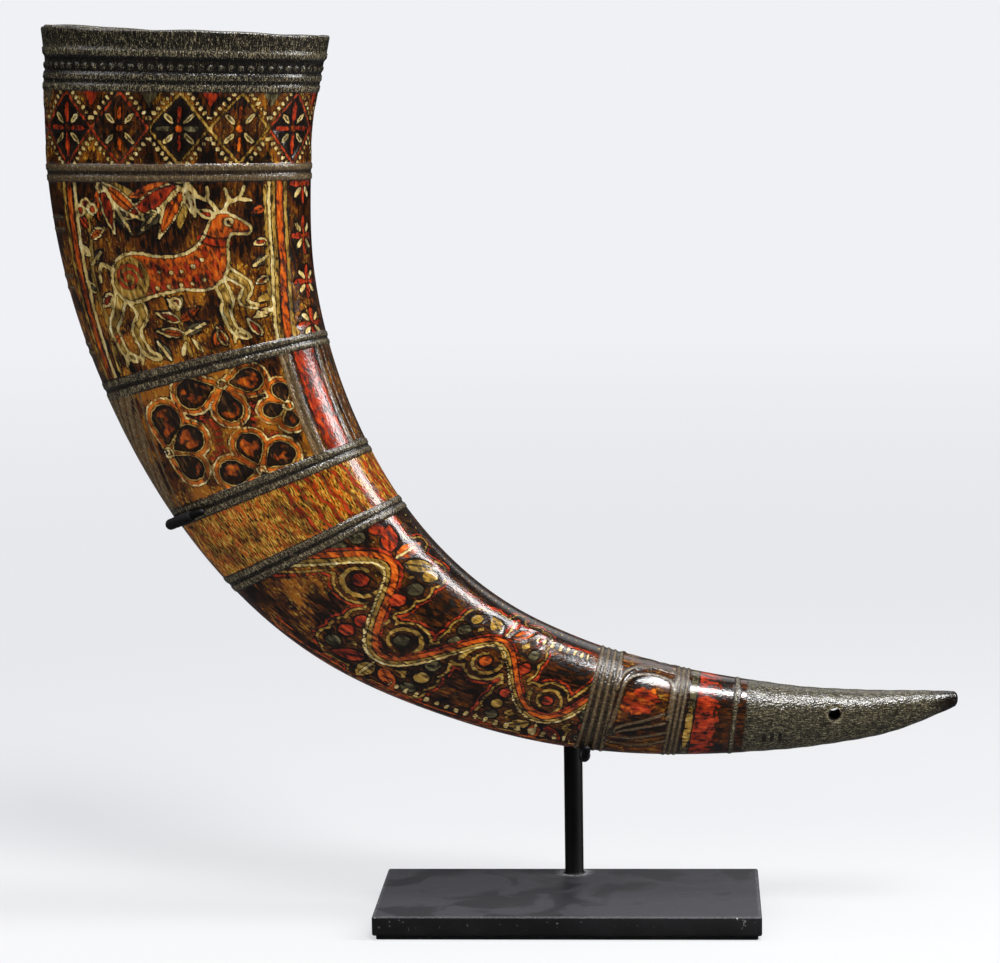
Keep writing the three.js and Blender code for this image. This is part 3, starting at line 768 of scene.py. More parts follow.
DOT_PITCH, DOT_OUT, DOT_HALF, DOT_FIRST, DOT_LAST = 2.05, 1.9, (0.56, 0.74), 1.0, 1.2
dot_along = (along - DOT_FIRST) % DOT_PITCH - DOT_PITCH / 2
dots = oval(dot_along, strip - DOT_OUT, *DOT_HALF)
dots = np.where((along > DOT_FIRST) & (along < edge - DOT_LAST), dots, FAR)
lay(k, cream=dots)
cut(k, dots, 0.2, soft=0.3)
WEDGE_WIDE, WEDGE_TALL, WEDGE_SCALE = 2.9, 4.6, 2.4
WEDGE_PAINTS = ("black", "red", "black", "olive")
corner = ((half - over) / WEDGE_WIDE + (LATTICE_TALL - up) / WEDGE_TALL - 1) * WEDGE_SCALE
wedge = (np.floor(cell_turn) * 2 + (y > 0)) % len(WEDGE_PAINTS)
for number, layer in enumerate(WEDGE_PAINTS):
    lay(k, wedge == number, **{layer: corner})

# Each petal's distance from the middle and its half sizes, by x and y, or along and across a slant one.
TALL, WIDE, SLANT = (5.0, 0.85, 3.6), (4.4, 3.0, 0.8), (4.6, 2.2, 0.78)
SLANT_INK, HUB_RADIUS, THINNED = (1.6, 0.42), 1.15, 0.25
tall_petal = oval(x, up - TALL[0], *TALL[1:])
wide_petal = oval(over - WIDE[0], y, *WIDE[1:])
slant, across = (over + up) / np.sqrt(2), (over - up) / np.sqrt(2)
slant_petal = oval(slant - SLANT[0], across, *SLANT[1:])
thinned = np.where((kind == 0) | (kind == 4), 0.0, THINNED)
lay(k, black_ground, red=tall_petal + thinned)
lay(k, ~black_ground, orange=tall_petal + thinned)
lay(k, kind % 4 == 0, red=wide_petal)
lay(k, kind % 4 == 2, olive=wide_petal)
lay(k, cream=slant_petal, orange=np.hypot(x, y) - HUB_RADIUS)
lay(k, ink=oval(slant - SLANT[0], across, *SLANT_INK))
cut(k, np.minimum(np.minimum(tall_petal, wide_petal), slant_petal), 0.18)
WARM_TRIANGLE, WARM_BLACK, WARM_BROWN = 0.52, 0.06, 0.28
warmth[k] = np.where(strip > 0, WARM_TRIANGLE, np.where(black_ground, WARM_BLACK, WARM_BROWN))
print("lattice of", LATTICE_CELLS, "diamonds over", len(k), "points")

# %% [markdown]
# ## Upper panel
# The tall panel is framed by stripes, with rosettes past the right ones and raised rungs past the left. Its
# dark ground holds a standing stag beside a young tree, under two hanging fans of leaves, drawn as folk
# carvers do: a light outline, a warm fill, and leaves in every gap. Each shape is a closed curve through a
# few points, a stroke or a leaf, so the drawing is a set of short lists that are easy to change. At the
# back, three leafy stems stand between stripes.

# %% Upper panel frame
PANEL_MARGIN, PANEL_MIDDLE = 2.9, 78.0
PANEL_TOP, PANEL_FOOT = AT["ring_1"] + PANEL_MARGIN, AT["ring_2"] - PANEL_MARGIN
STRIPE_DEPTH = 0.12
k = zone(PANEL_TOP - 0.5, PANEL_FOOT + 0.5)
right_edge = np.interp(s[k], [49.0, 76.0, 106.0], [33.4, 31.8, 25.9])
# Paint, place round the horn and width of each stripe; the right ones start from the panel's right edge.
LEFT_STRIPES = [("ochre", -37.0, 1.3), ("orange", -34.6, 1.8), ("cream", -32.1, 1.2)]
RIGHT_STRIPES = [("cream", -0.4, 1.1), ("ochre", 1.0, 1.3), ("orange", 3.5, 2.2), ("ochre", 5.8, 1.3)]
for start, stripes in ((0.0, LEFT_STRIPES), (right_edge, RIGHT_STRIPES)):
    for layer, past, wide in stripes:
        stripe = np.abs(a[k] - start - past) - wide / 2
        lay(k, **{layer: stripe})
        cut(k, stripe, STRIPE_DEPTH)


def rosette(k, x, y, size):
    """Flower of four red leaves on the axes and four light ones between them, in shares of its size."""
    over, up = np.abs(x), np.abs(y)
    axis = np.minimum(oval(x, up - 0.52 * size, 0.15 * size, 0.42 * size),
                      oval(over - 0.52 * size, y, 0.42 * size, 0.15 * size))
    slant, across = (over + up) / np.sqrt(2), (over - up) / np.sqrt(2)
    between = oval(slant - 0.55 * size, across, 0.3 * size, 0.12 * size)
    hub = np.hypot(x, y) - 0.14 * size
    lay(k, black=np.hypot(x, y) - size, red=axis, cream=between, orange=hub)
    cut(k, np.minimum(axis, between), 0.2)


ROSETTE_SIZE, ROSETTE_PITCH, ROSETTE_PAST, ROSETTE_FIRST = 7.4, 18.0, 14.5, 10.0
side_s = (s[k] - PANEL_TOP - ROSETTE_FIRST) % ROSETTE_PITCH - ROSETTE_PITCH / 2
rosette(k, a[k] - right_edge - ROSETTE_PAST, side_s, ROSETTE_SIZE)
RUNGS, RUNG_HALF, RUNG_RISE = (59.7, 63.4, 77.3, 80.7, 96.4, 99.0), 0.55, 0.3
RUNG_A, RUNG_REACH = -43.5, 5.0
for mark in RUNGS:
    rung = np.maximum(np.abs(s[k] - mark) - RUNG_HALF, np.abs(a[k] - RUNG_A) - RUNG_REACH)
    lay(k, raw=rung)
    cut(k, rung, -RUNG_RISE)
warmth[k] = np.interp(s[k], [66.0, 84.0], [0.3, 0.56]) + 0.3 * warm_spot(k, (-16.0, 98.0), 16.0, 14.0)
print("upper panel:", len(k), "points")

# %% Stag
x, y = a[k] + 1.0, PANEL_MIDDLE - s[k]
LINE, LINE_DEPTH, FILL_IN, HAUNCH = 0.95, 0.22, 0.3, (-15.0, -1.4)
STAG = [
    (-19.5, 3.5), (-13, 6.6), (-3, 5), (5, 6), (10, 9.6), (12.6, 14.2), (14.6, 18),
    (18, 19.6), (22.2, 17.6), (26.6, 14.2), (25.4, 11.8), (20.4, 11.8), (18.6, 8.6), (17.8, 2.6),
    (15.4, -3.4), (9.6, -7), (0.5, -6.4), (-9, -7.6), (-17, -8.6), (-21.2, -3.4),
]
stag = filled(x, y, curve(STAG, closed=True))
haunch = oval(x - HAUNCH[0], y - HAUNCH[1], 6.6, 7.2)
lay(k, orange=np.maximum(stag + FILL_IN, -haunch), ochre=stag + FILL_IN, cream=np.abs(stag) - LINE / 2)
cut(k, np.abs(stag) - LINE / 2, LINE_DEPTH)
LEGS = [
    [(13.5, -4.5), (14.6, -11.5), (13.2, -15.6), (14, -22.6), (16.8, -25.6)],
    [(16.4, -1.6), (22, -7), (19.4, -12.8), (22.8, -15)],
    [(-16, -7), (-13.6, -12.6), (-17.2, -17.4), (-15.6, -24), (-12.6, -26.4)],
    [(-19.4, -5.6), (-22, -11.4), (-25, -15.6), (-23.6, -22.6), (-20.6, -25.4)],
]
THIGH, HOOF, LIMB_DEPTH = 4.0, 1.7, 0.2
for leg in LEGS:
    limb = np.maximum(stroke(x, y, leg, THIGH, HOOF), -stag)
    lay(k, ochre=limb, cream=np.abs(limb) - LINE / 2)
    cut(k, np.abs(limb) - LINE / 2, LIMB_DEPTH)
ANTLERS = [
    [(16.4, 19.4), (14.6, 22.6), (10.8, 24.6), (8.6, 28.2)],
    [(18.4, 19.6), (20.2, 22.6), (23.6, 24), (25.6, 27.8)],
    [(13.4, 23.5), (13.8, 27.6)], [(10.8, 24.6), (6.4, 24.4)],
    [(20.4, 22.9), (19.4, 27.2)], [(23.4, 23.9), (27.8, 23.2)],
]
for tine in ANTLERS:
    lay(k, cream=stroke(x, y, tine, 1.4, 0.95))
TAIL, EAR, EYE = [(-20.4, 1.6), (-24.2, 3.4), (-25.8, -1.8)], (15.2, 18.0), (19.6, 16.0)
lay(k, cream=stroke(x, y, TAIL, 1.7, 1.0))
ear = leaf(x, y, EAR, 160, 5.4, 2.6)
lay(k, red=ear + 0.4, cream=np.abs(ear) - 0.42)
eye = np.hypot(x - EYE[0], y - EYE[1])
lay(k, cream=np.abs(eye - 1.15) - 0.42, ink=eye - 0.7)
MOUTH, NECKBAND = [(26.0, 12.9), (23.0, 13.0)], [(10.2, 10.8), (14.6, 9.0), (19.0, 9.0)]
BAND_EDGES = [[(10.6, 12.2), (14.8, 10.5), (18.9, 10.5)], [(9.8, 9.4), (14.4, 7.5), (18.4, 7.4)]]
lay(k, ink=stroke(x, y, MOUTH, 0.7), red=stroke(x, y, NECKBAND, 2.0))
for line in BAND_EDGES:
    lay(k, ink=stroke(x, y, line, 0.8))

# Coat: rows of red hair strokes, light spots between them, and a curled line on the haunch.
HAIR = [
    (-6.5, 3.2), (-3, 2.4), (0.5, 2.4), (4, 2.8), (7.5, 4.4), (10.6, 7.6), (12.4, 11.4), (-8.2, -2.4),
    (-4.6, -2.6), (-1, -2.4), (2.8, -2.2), (6.6, -1.4), (10.2, 0.4), (13.2, 3.4), (14.8, 7.4),
]
for number, foot in enumerate(HAIR):
    lay(k, red=leaf(x, y, foot, -78 - 4 * (number % 3), 4.4, 1.6))
SPOT_RADIUS = 0.7
SPOTS = [
    (-4.8, 0), (-1.2, -0.4), (2.4, -0.2), (6.2, 1.2), (9.4, 3.4), (-6.6, -5.2), (-2.8, -5),
    (1.2, -4.8), (5, -4.6), (9, -3.6),
]
for spot in SPOTS:
    lay(k, cream=np.hypot(x - spot[0], y - spot[1]) - SPOT_RADIUS)
CURL_AT, CURL_TURNS, CURL_FROM, CURL_BY = (-15.4, -1.2), 3.4 * np.pi, 4.6, 3.6
curl_turn = np.linspace(0, CURL_TURNS, 40)
curl_radius = CURL_FROM - CURL_BY * curl_turn / CURL_TURNS
curl = CURL_AT + curl_radius[:, None] * np.stack([np.cos(curl_turn), np.sin(curl_turn)], -1)
lay(k, red=stroke(x, y, curl, 0.95, smooth=False))
print("stag:", len(STAG), "points of outline")

# %% Tree, fans of leaves and grass round the stag
STEMS = [  # line, width and end width of the tree, the vine at the right and the flower's stalk
    ([(-28, -27.5), (-26.8, -14), (-28.2, 0), (-26.6, 12), (-27.4, 20)], 1.8, 1.2),
    ([(32.6, 28), (32, 14), (29.8, -4), (26.8, -20)], 1.4, 1.4),
    ([(-2, -28), (-2.2, -21), (-2, -11)], 1.4, 1.4),
]
for line, width, end_width in STEMS:
    lay(k, ochre=stroke(x, y, line, width, end_width))
LEFT_FAN = [(262, 13), (281, 17), (299, 20), (318, 19), (338, 14)]
RIGHT_FAN = [(194, 20), (210, 25), (226, 24), (242, 21), (260, 17), (283, 12)]
LEAF_SPRAYS = {  # foot, angle and length of each leaf
    "tree": [
        ((-27.4, -20.5), 34, 6.2), ((-27, -9), 38, 6.4), ((-28, 3.6), 40, 6.4),
        ((-27, 11.6), 30, 7), ((-27.4, 17), 60, 7.4), ((-28, 6.4), 138, 5),
        ((-27, 15), 128, 5.4), ((-28, -4.6), 140, 5),
    ],
    "vine": [
        ((32, 21), 205, 5.4), ((31.4, 9.6), 200, 5), ((30.6, 3.6), 215, 6.6),
        ((29.6, -4.4), 205, 5), ((28.6, -11), 210, 5.8), ((27.8, -17), 200, 7),
    ],
    "flower": [
        ((-2, -16.5), 28, 8), ((-2, -16.5), 152, 8), ((-2, -20.8), 16, 8.6),
        ((-2, -20.8), 164, 8.6), ((-2, -12.6), 58, 4.6), ((-2, -12.6), 122, 4.6),
    ],
    "ground": [
        ((6.6, -27), 62, 8), ((22, -26.4), 112, 8), ((-8.8, -28), 112, 7.4),
        ((10, -27.4), 100, 7),
    ],
    "left_fan": [((-21, 29.4), *leaf_plan) for leaf_plan in LEFT_FAN],
    "right_fan": [((6.5, 29.4), *leaf_plan) for leaf_plan in RIGHT_FAN],
}
LEAF_COLOURS = ("orange", "red", "olive", "orange", "ochre")
LEAF_CLEAR, LEAF_WIDE, LEAF_WIDER, LEAF_MARGIN, LEAF_DEPTH, RIB_HALF = 0.4, 1.6, 0.16, 0.9, 0.24, 0.42
for spray in LEAF_SPRAYS.values():
    for number, (foot, turn, length) in enumerate(spray):
        blade = leaf(x, y, foot, turn, length, LEAF_WIDE + LEAF_WIDER * length)
        blade = np.maximum(blade, LEAF_CLEAR - stag)
        rib = np.maximum(leaf(x, y, foot, turn, 0.9 * length, 0.1) - RIB_HALF, LEAF_CLEAR - stag)
        lay(k, black=blade - LEAF_MARGIN, **{LEAF_COLOURS[number % len(LEAF_COLOURS)]: blade})
        cut(k, blade, LEAF_DEPTH)
        if number % 3 == 2:
            lay(k, cream=rib)
        if number % 3 == 0:
            lay(k, ink=rib + 0.1)
        if number % 2 == 1:
            lay(k, cream=np.abs(blade + 0.1) - 0.3)
BERRIES = [(-27.4, 22.6), (-29.6, 20.4), (-25.0, 20.8), (-2.0, -10.4), (-21.0, 28.0), (6.5, 28.2)]
for berry in BERRIES:
    bead = np.hypot(x - berry[0], y - berry[1])
    lay(k, red=bead - 1.2, cream=np.abs(bead - 1.6) - 0.4)
GRASS = [
    ((-18.6, -28), 78), ((-5.2, -28.4), 60), ((2.4, -28), 116),
    ((12.6, -27.6), 66), ((18.6, -27), 120), ((-24.6, -27.6), 64),
]
for foot, turn in GRASS:
    lay(k, cream=leaf(x, y, foot, turn, 6.6, 1.5))
print("leaves round the stag:", sum(len(spray) for spray in LEAF_SPRAYS.values()))

# %% Back of the upper panel
STEM_PLACES, STEM_NEAR, STEM_HALF, LEAF_PITCH = (-0.62, 0.0, 0.62), 0.3, 0.9, 13.0
for place in STEM_PLACES:
    bx, by = b[k] - place * quarter[k], PANEL_MIDDLE - s[k]
    near = np.abs(bx) < STEM_NEAR * quarter[k]
    row = np.round(by / LEAF_PITCH)
    blade = leaf(np.abs(bx), by - row * LEAF_PITCH, (0.6, -4.6), 38, 11.0, 5.0)
    lay(k, near, ochre=np.abs(bx) - STEM_HALF, cream=np.abs(blade) - 0.55)
    lay(k, near & (row % 2 == 0), orange=blade)
    lay(k, near & (row % 2 == 1), red=blade)
    cut(k, np.where(near, blade, FAR), 0.22)
BACK_STRIPE_PLACES = (-0.31, 0.31)
BACK_STRIPES = [("ochre", -2.6, 1.6), ("red", 0.0, 2.0), ("ochre", 2.6, 1.6)]
for place in BACK_STRIPE_PLACES:
    for layer, past, wide in BACK_STRIPES:
        lay(k, **{layer: np.abs(b[k] - place * quarter[k] - past) - wide / 2})
print("stems at the back:", len(STEM_PLACES))

# %% [markdown]
# ## Petal panel
# Below the second ring lies a block of large petals in four sprays. Each petal is a teardrop hollowed into
# the horn and ringed with dark, orange and gold paint, so one distance serves all its rings. Ribs of bare
# horn frame the block; a border hatched with bare horn closes it on the left and a red strip on the right.

# %% Petal panel
PETAL_MARGIN = 2.4
k = zone(AT["ring_2"] + PETAL_MARGIN, AT["ring_3"] - PETAL_MARGIN)
left_rib = np.interp(s[k], [113.9, 151.6], [-24.8, -30.8])
right_rib = np.interp(s[k], [115.2, 150.3], [25.4, 21.8])
PETAL_SPRAYS = [  # middle of a spray, then the middles of its petals
    ((3.1, 117.6), [(-7.2, 117.9), (2.4, 126.2), (11.8, 118.6)]),
    ((20.2, 131), [(19.9, 125.2), (14.6, 130.8), (18.9, 136)]),
    ((-23.2, 133.2), [(-19.2, 123.6), (-14, 131.2), (-17.9, 139.8)]),
    ((2.6, 148.4), [(2.9, 139.6), (-6, 146), (11, 145.6)]),
]
BACK_MIDDLES, BACK_S, BACK_WIDE, BACK_LONG = (-24.0, 0.0, 24.0), 131.5, 9.0, 8.5
back_sprays = [
    ((middle, BACK_S), [(middle - BACK_WIDE, BACK_S), (middle, BACK_S - BACK_LONG),
                        (middle + BACK_WIDE, BACK_S), (middle, BACK_S + BACK_LONG)])
    for middle in BACK_MIDDLES
]
PETAL_FOOT, PETAL_END, FOOT_ROUND, END_ROUND = 0.3, 1.02, 0.5, 0.47
for round_from, sprays in ((a, PETAL_SPRAYS), (b, back_sprays)):
    x, y = round_from[k], s[k]
    for centre, petals in sprays:
        for petal in petals:
            toward = np.subtract(petal, centre)
            foot, end = np.add(centre, PETAL_FOOT * toward), np.add(centre, PETAL_END * toward)
            lay(k, petal=drop(x, y, foot, end, FOOT_ROUND, END_ROUND * np.hypot(*toward)))
        hub = np.hypot(x - centre[0], y - centre[1])
        lay(k, red=hub - 0.9, cream=np.abs(hub - 1.5) - 0.32)
hollow = paint["petal"][k]
PETAL_DEPTH, PETAL_BRINK, PETAL_SLOPE = 0.3, 0.6, 2.4
carve[k] -= PETAL_DEPTH * np.clip((PETAL_BRINK - hollow) / PETAL_SLOPE, 0, 1)
cut(k, np.abs(hollow - 2.15) - 0.4, 0.12)
cut(k, np.abs(hollow - 0.2) - 0.3, -0.1)


def ticks(k, x, y, line, pitch, length, width, layer):
    """Short strokes across a line, a pitch apart."""
    gap, along = to_line(x, y, line)
    reach = along * np.hypot(*np.diff(line, axis=0).T).sum()
    step = (reach % pitch) - pitch / 2
    inside = (along > 0) & (along < 1)
    mark = np.hypot(np.maximum(gap - length / 2 + width / 2, 0), step) - width / 2
    lay(k, inside, **{layer: mark})


x, y = a[k], s[k]
TICK_LINES = [
    [(-12.5, 122.5), (-7, 126), (-4.6, 131), (-6.6, 138)],
    [(-11.5, 141.5), (-8, 138.8), (-4, 138)],
    [(4.5, 134), (9, 137), (13.5, 140)],
    [(9, 131), (9.5, 127), (7.6, 134)],
]
for line in TICK_LINES:
    ticks(k, x, y, curve(line), 1.7, 2.8, 0.95, "red")

# The frame: fine ribs and a hatched border at the left; a split rib, red strip and more ribs at the right.
LEFT_PAIR, LEFT_HALF, RIGHT_HALF, SPLIT_HALF = 1.3, 0.5, 1.9, 0.35
left_lines = np.abs(np.abs(x - left_rib + LEFT_PAIR) - LEFT_PAIR) - LEFT_HALF
right_line = np.abs(x - right_rib)
ribs = [(np.minimum(left_lines, right_line - RIGHT_HALF), 0.32)]
HATCH_PAST, HATCH_PITCH, HATCH_HALF, HATCH_SLANT, HATCH_END = 3.4, 3.6, 1.45, 0.22, 1.25
hatched = np.maximum(x - left_rib + HATCH_PAST, -x - HATCH_END * quarter[k])
hatch = (x - left_rib + HATCH_SLANT * (y - 131.0)) % HATCH_PITCH - HATCH_PITCH / 2
ribs.append((np.maximum(np.abs(hatch) - HATCH_HALF, hatched), 0.3))
STRIP_PAST, STRIP_REACH, THIN_PAST, THIN_HALF = 7.4, 4.0, 13.6, 0.6
ribs.append((np.abs(x - right_rib - THIN_PAST) - THIN_HALF, 0.25))
FINE_PAST, FINE_HALF, FINE_END = (16.4, 19.2, 22.0), 0.45, 1.3
for past in FINE_PAST:
    fine = np.abs(x - right_rib - past) - FINE_HALF
    ribs.append((np.maximum(fine, x - FINE_END * quarter[k]), 0.2))
for rib, rise in ribs:
    lay(k, raw=rib)
    cut(k, rib, -rise)
cut(k, right_line - SPLIT_HALF, 0.3)
lay(k, red=np.abs(x - right_rib - STRIP_PAST) - STRIP_REACH)
WARM_BLOCK, WARM_LEFT, WARM_RIGHT = 0.82, 0.7, 0.35
beside = np.where(x < 0, WARM_LEFT, WARM_RIGHT)
warmth[k] = np.where((x > left_rib) & (x < right_rib), WARM_BLOCK, beside)
warmth[k] += 0.45 * warm_spot(k, (-19.0, 115.0), 7.0, 5.0)
print("petals:", sum(len(petals) for _, petals in PETAL_SPRAYS + back_sprays))

# %% [markdown]
# ## Flecked band
# Between the third and fourth rings the paint is only brushed: streaks of ochre, orange and brown run along
# the horn, with fine red lines beside them towards the inner edge. Thousands of strokes would say no more
# than a noise drawn out along the horn, so the streaks are left to the shader.

# %% Flecked band
FLECK_MARGIN, FINE_PITCH, FINE_REACH = 2.2, 4.2, 0.55
FINE_FROM, FINE_TO = 4.0, 46.0
k = zone(AT["ring_3"] + FLECK_MARGIN, AT["ring_4"] - FLECK_MARGIN)
fleck[k] = 1.0
fine = (a[k] - 0.1 * s[k] + 0.5 * np.sin(s[k] * 0.7)) % FINE_PITCH - FINE_PITCH / 2
lay(k, (a[k] > FINE_FROM) & (a[k] < FINE_TO), red=np.abs(fine) - FINE_REACH)
print("flecked band:", len(k), "points")

# %% [markdown]
# ## Lower panel
# The long lower panel tapers with the horn. It holds a vine scroll: a stem in stripes of orange and ochre
# winds down the panel, a tendril curls up in each bend round a disc, and leaves and discs fill the rest,
# with thin lines that echo their outlines. Light ticks border it below, and a dark strip with dots follows
# the inner edge. One bend is drawn by a function, and a loop repeats it, scaled by the horn's size there;
# drawn piece by piece, no two bends would match.

# %% Lower panel
k = zone(AT["ring_4"] + 2.6, AT["ring_5"] - 3.4)
VINE_FROM, VINE_WAVE, VINE_TURN, VINE_LIFT, VINE_BENDS = 183.0, 50.0, 0.36, 0.04, 4
VINE_UNIT = 40
VINE_STRIPES = [("orange", 1.15, 0.95), ("ochre", -0.95, 0.7), ("cream", -2.1, 0.42), ("red", 2.9, 0.45)]


def vine(k, x, y, phase):
    """Vine along the panel: its middle line swings as a sine of the distance from the rim."""
    turn = 2 * np.pi * (y - VINE_FROM) / VINE_WAVE + phase
    here = quarter[k]
    swing = VINE_TURN * here
    slope = swing * np.cos(turn) * 2 * np.pi / VINE_WAVE
    off = (x - VINE_LIFT * here - swing * np.sin(turn)) / np.sqrt(1 + slope**2)
    unit = here / VINE_UNIT
    for layer, past, half in VINE_STRIPES:
        lay(k, **{layer: np.abs(off - past * unit) - half * unit})
    cut(k, np.abs(off) - 2.4 * unit, 0.15)


def roundel(k, x, y, centre, size, layer):
    """Disc in one paint with a dark line round it, on a dark ground."""
    ball = np.hypot(x - centre[0], y - centre[1]) - size
    lay(k, black=ball - 0.7, ink=np.abs(ball - 0.15) - 0.25, **{layer: ball})
    cut(k, np.abs(ball) - 0.4, 0.18)


EYE_IN, EYE_SIZE, SPIRAL_TURN, SPIRAL_LEAD = 10.2, 2.5, 2.5 * np.pi, 1.9
SPIRAL_FROM, SPIRAL_BY, SPIRAL_POWER = 9.6, 5.6, 0.8
EYE_PAINTS = ("red", "olive", "orange", "red", "olive")
LEAF_SPREADS, LEAF_PAINTS = (-52, 0, 52), ("red", "orange", "ochre")
DISCS = [(-1.0, -13.5), (6.0, -13.0), (-1.0, 13.5), (6.0, 13.0), (-7.6, -13.0), (-7.6, 13.0)]
DISC_PAINTS = ("olive", "red", "olive", "ochre", "olive", "red")


def tendril(k, x, y, bend, phase):
    """One bend of the scroll: a spiral round a disc inside it, and three leaves and six discs round it."""
    mid_s = VINE_FROM + VINE_WAVE * (0.25 + bend / 2 - phase / (2 * np.pi))
    side = 1 if bend % 2 == 0 else -1
    here = np.interp(mid_s, station_s, quarter_of(station_s))
    unit = here / VINE_UNIT
    apex = here * VINE_LIFT + side * VINE_TURN * here
    eye = np.array([apex - side * EYE_IN * unit, mid_s])
    turn = np.linspace(0, SPIRAL_TURN, 40)
    radius = (SPIRAL_FROM - SPIRAL_BY * (turn / SPIRAL_TURN) ** SPIRAL_POWER) * unit
    round_eye = np.stack([side * np.cos(turn - SPIRAL_LEAD), np.sin(turn - SPIRAL_LEAD)], -1)
    line = stroke(x, y, eye + radius[:, None] * round_eye, 2.0 * unit, 1.1 * unit, smooth=False)
    lay(k, ochre=line)
    cut(k, line, 0.15)
    roundel(k, x, y, eye, EYE_SIZE * unit, EYE_PAINTS[bend])
    outward = 0 if side > 0 else 180
    for number, spread in enumerate(LEAF_SPREADS):
        foot = (apex + side * 3.6 * unit, mid_s + spread * 0.06 * unit * side)
        blade = leaf(x, y, foot, outward + spread, 11.5 * unit, 5.2 * unit)
        rib = leaf(x, y, foot, outward + spread, 8.5 * unit, 0.1) - 0.4
        lay(k, black=blade - 0.7, **{LEAF_PAINTS[(number + bend) % len(LEAF_PAINTS)]: blade})
        lay(k, **{"cream" if number == 1 else "ink": rib})
        cut(k, blade, 0.22)
    for number, (out_by, past) in enumerate(DISCS):
        centre = (apex + side * out_by * unit, mid_s + past * VINE_WAVE / 50)
        layer = DISC_PAINTS[(number + bend) % len(DISC_PAINTS)]
        roundel(k, x, y, centre, EYE_SIZE * unit, layer)


for round_from, phase in ((a, 0.0), (b, np.pi)):
    x = round_from[k]
    for bend in range(VINE_BENDS + (phase > 0)):
        tendril(k, x, s[k], bend, phase)
    vine(k, x, s[k], phase)
print("bends of the scroll:", 2 * VINE_BENDS + 1)

# %% Edges of the lower panel
ECHOES = [("ochre", 1.9, 0.42), ("red", 3.1, 0.4)]
drawn = np.minimum.reduce([paint[name][k] for name in LAYERS[:6]])
for layer, past, half in ECHOES:
    lay(k, **{layer: np.abs(drawn - past) - half})
# A row of ticks: its share of the quarter, distances from the rim with the quarter there, length and width.
TICK_ROWS = [
    (-0.56, ((228, 34.6), (245, 31.3), (262, 28.2), (281, 25.5)), 2.9, 1.15),
    (0.62, ((256, 29.2), (270, 26.9), (281, 25.5)), 2.6, 1.1),
]
for turn, row, length, width in TICK_ROWS:
    line = curve([(turn * here, at) for at, here in row])
    ticks(k, a[k], s[k], line, 2.9, length, width, "cream")
INNER_TURN, INNER_HALF, PEARL_PITCH, PEARL_RADIUS = 0.86, 0.11, 3.3, 0.55
BAR_TURN, BAR_HALF, BAR_PITCH, BAR_REACH = 0.16, 0.55, 24.0, 8.5
here = quarter[k]
inner_line = a[k] / here - INNER_TURN
pearl = np.hypot(inner_line * here, s[k] % PEARL_PITCH - PEARL_PITCH / 2) - PEARL_RADIUS
lay(k, black=(np.abs(inner_line) - INNER_HALF) * here, ochre=pearl)
bar = np.abs((np.abs(inner_line) - BAR_TURN) * here) - BAR_HALF
lay(k, red=np.maximum(bar, np.abs(s[k] % BAR_PITCH - BAR_PITCH / 2) - BAR_REACH))
BELLY_FROM, BELLY_TO, BELLY_S, STREAK_PITCH = -1.1, -0.62, 192.0, 3.4
streak = (a[k] / here * 30 + 1.4 * np.sin(s[k] / 9)) % STREAK_PITCH - STREAK_PITCH / 2
on_belly = (a[k] < BELLY_TO * here) & (a[k] > BELLY_FROM * here) & (s[k] > BELLY_S)
lay(k, on_belly, orange=np.abs(streak) - 0.5)
warmth[k] = 0.26 + 0.45 * warm_spot(k, (-16.0, 188.0), 14.0, 10.0)
print("lower panel:", len(k), "points")

# %% [markdown]
# ## Small panel and red collar near the tip
# Past the fifth ring, raised ridges draw an arch on dark lacquer, with a fan of lines at its foot and
# orange smeared with red at its head. The sixth ring, an ochre stripe and a red collar brushed with brown
# end the painted part. The ridges could be swept tubes; as strokes they rise from the skin itself.

# %% Small panel and red collar
ARCH_A, ARCH_S, RIDGE_RISE = 5.4, 301.4, 0.35
k = zone(AT["ring_5"] + 3.0, AT["ring_6"] - 1.6)
ARCH_LINES = [  # width of each ridge, and its line down and across from the arch's middle
    (1.1, [(-9.8, -14), (-8.9, -8.1), (-7.8, 2.2), (-6.3, 5.6), (-3.4, 7.7), (1.5, 8.5), (5.6, 7.7),
           (8.1, 6), (8.8, 1), (8.6, -6)]),
    (0.9, [(-9.6, 1.5), (-9.2, 4.6), (-7.2, 8.8), (-3.1, 11.2), (2, 11.8), (8.4, 10.4)]),
    (0.9, [(-9.7, -13.4), (-5.6, -10.2), (1.1, -7.4), (7.4, -4.4)]),
    (0.9, [(-9.7, -13.8), (-2.6, -11), (8, -7.6)]),
    (0.9, [(-9.7, -14.2), (-1.4, -14), (8.4, -10.8)]),
    (0.9, [(-9.4, -16.6), (0, -17), (8.6, -14)]),
]
down = s[k] - ARCH_S
for across in (a[k] - ARCH_A, b[k] + ARCH_A):
    for width, line in ARCH_LINES:
        ridge = stroke(down, across, line, width)
        # A dark line at the foot of each ridge is painted shade.
        lay(k, raw=ridge, ink=np.abs(ridge - 0.45) - 0.25)
        cut(k, ridge, -RIDGE_RISE)
    patch = oval(down + 0.8 - 0.3 * across, across + 1.2, 5.8, 4.6)
    patch = patch + 0.8 * np.sin(1.5 * down + across) * np.sin(1.1 * across)
    smear = 0.9 * np.sin(1.3 * across + 0.4 * down) + 0.5 * np.sin(1.9 * down)
    lay(k, orange=patch, red=np.maximum(patch, -0.2 - smear))

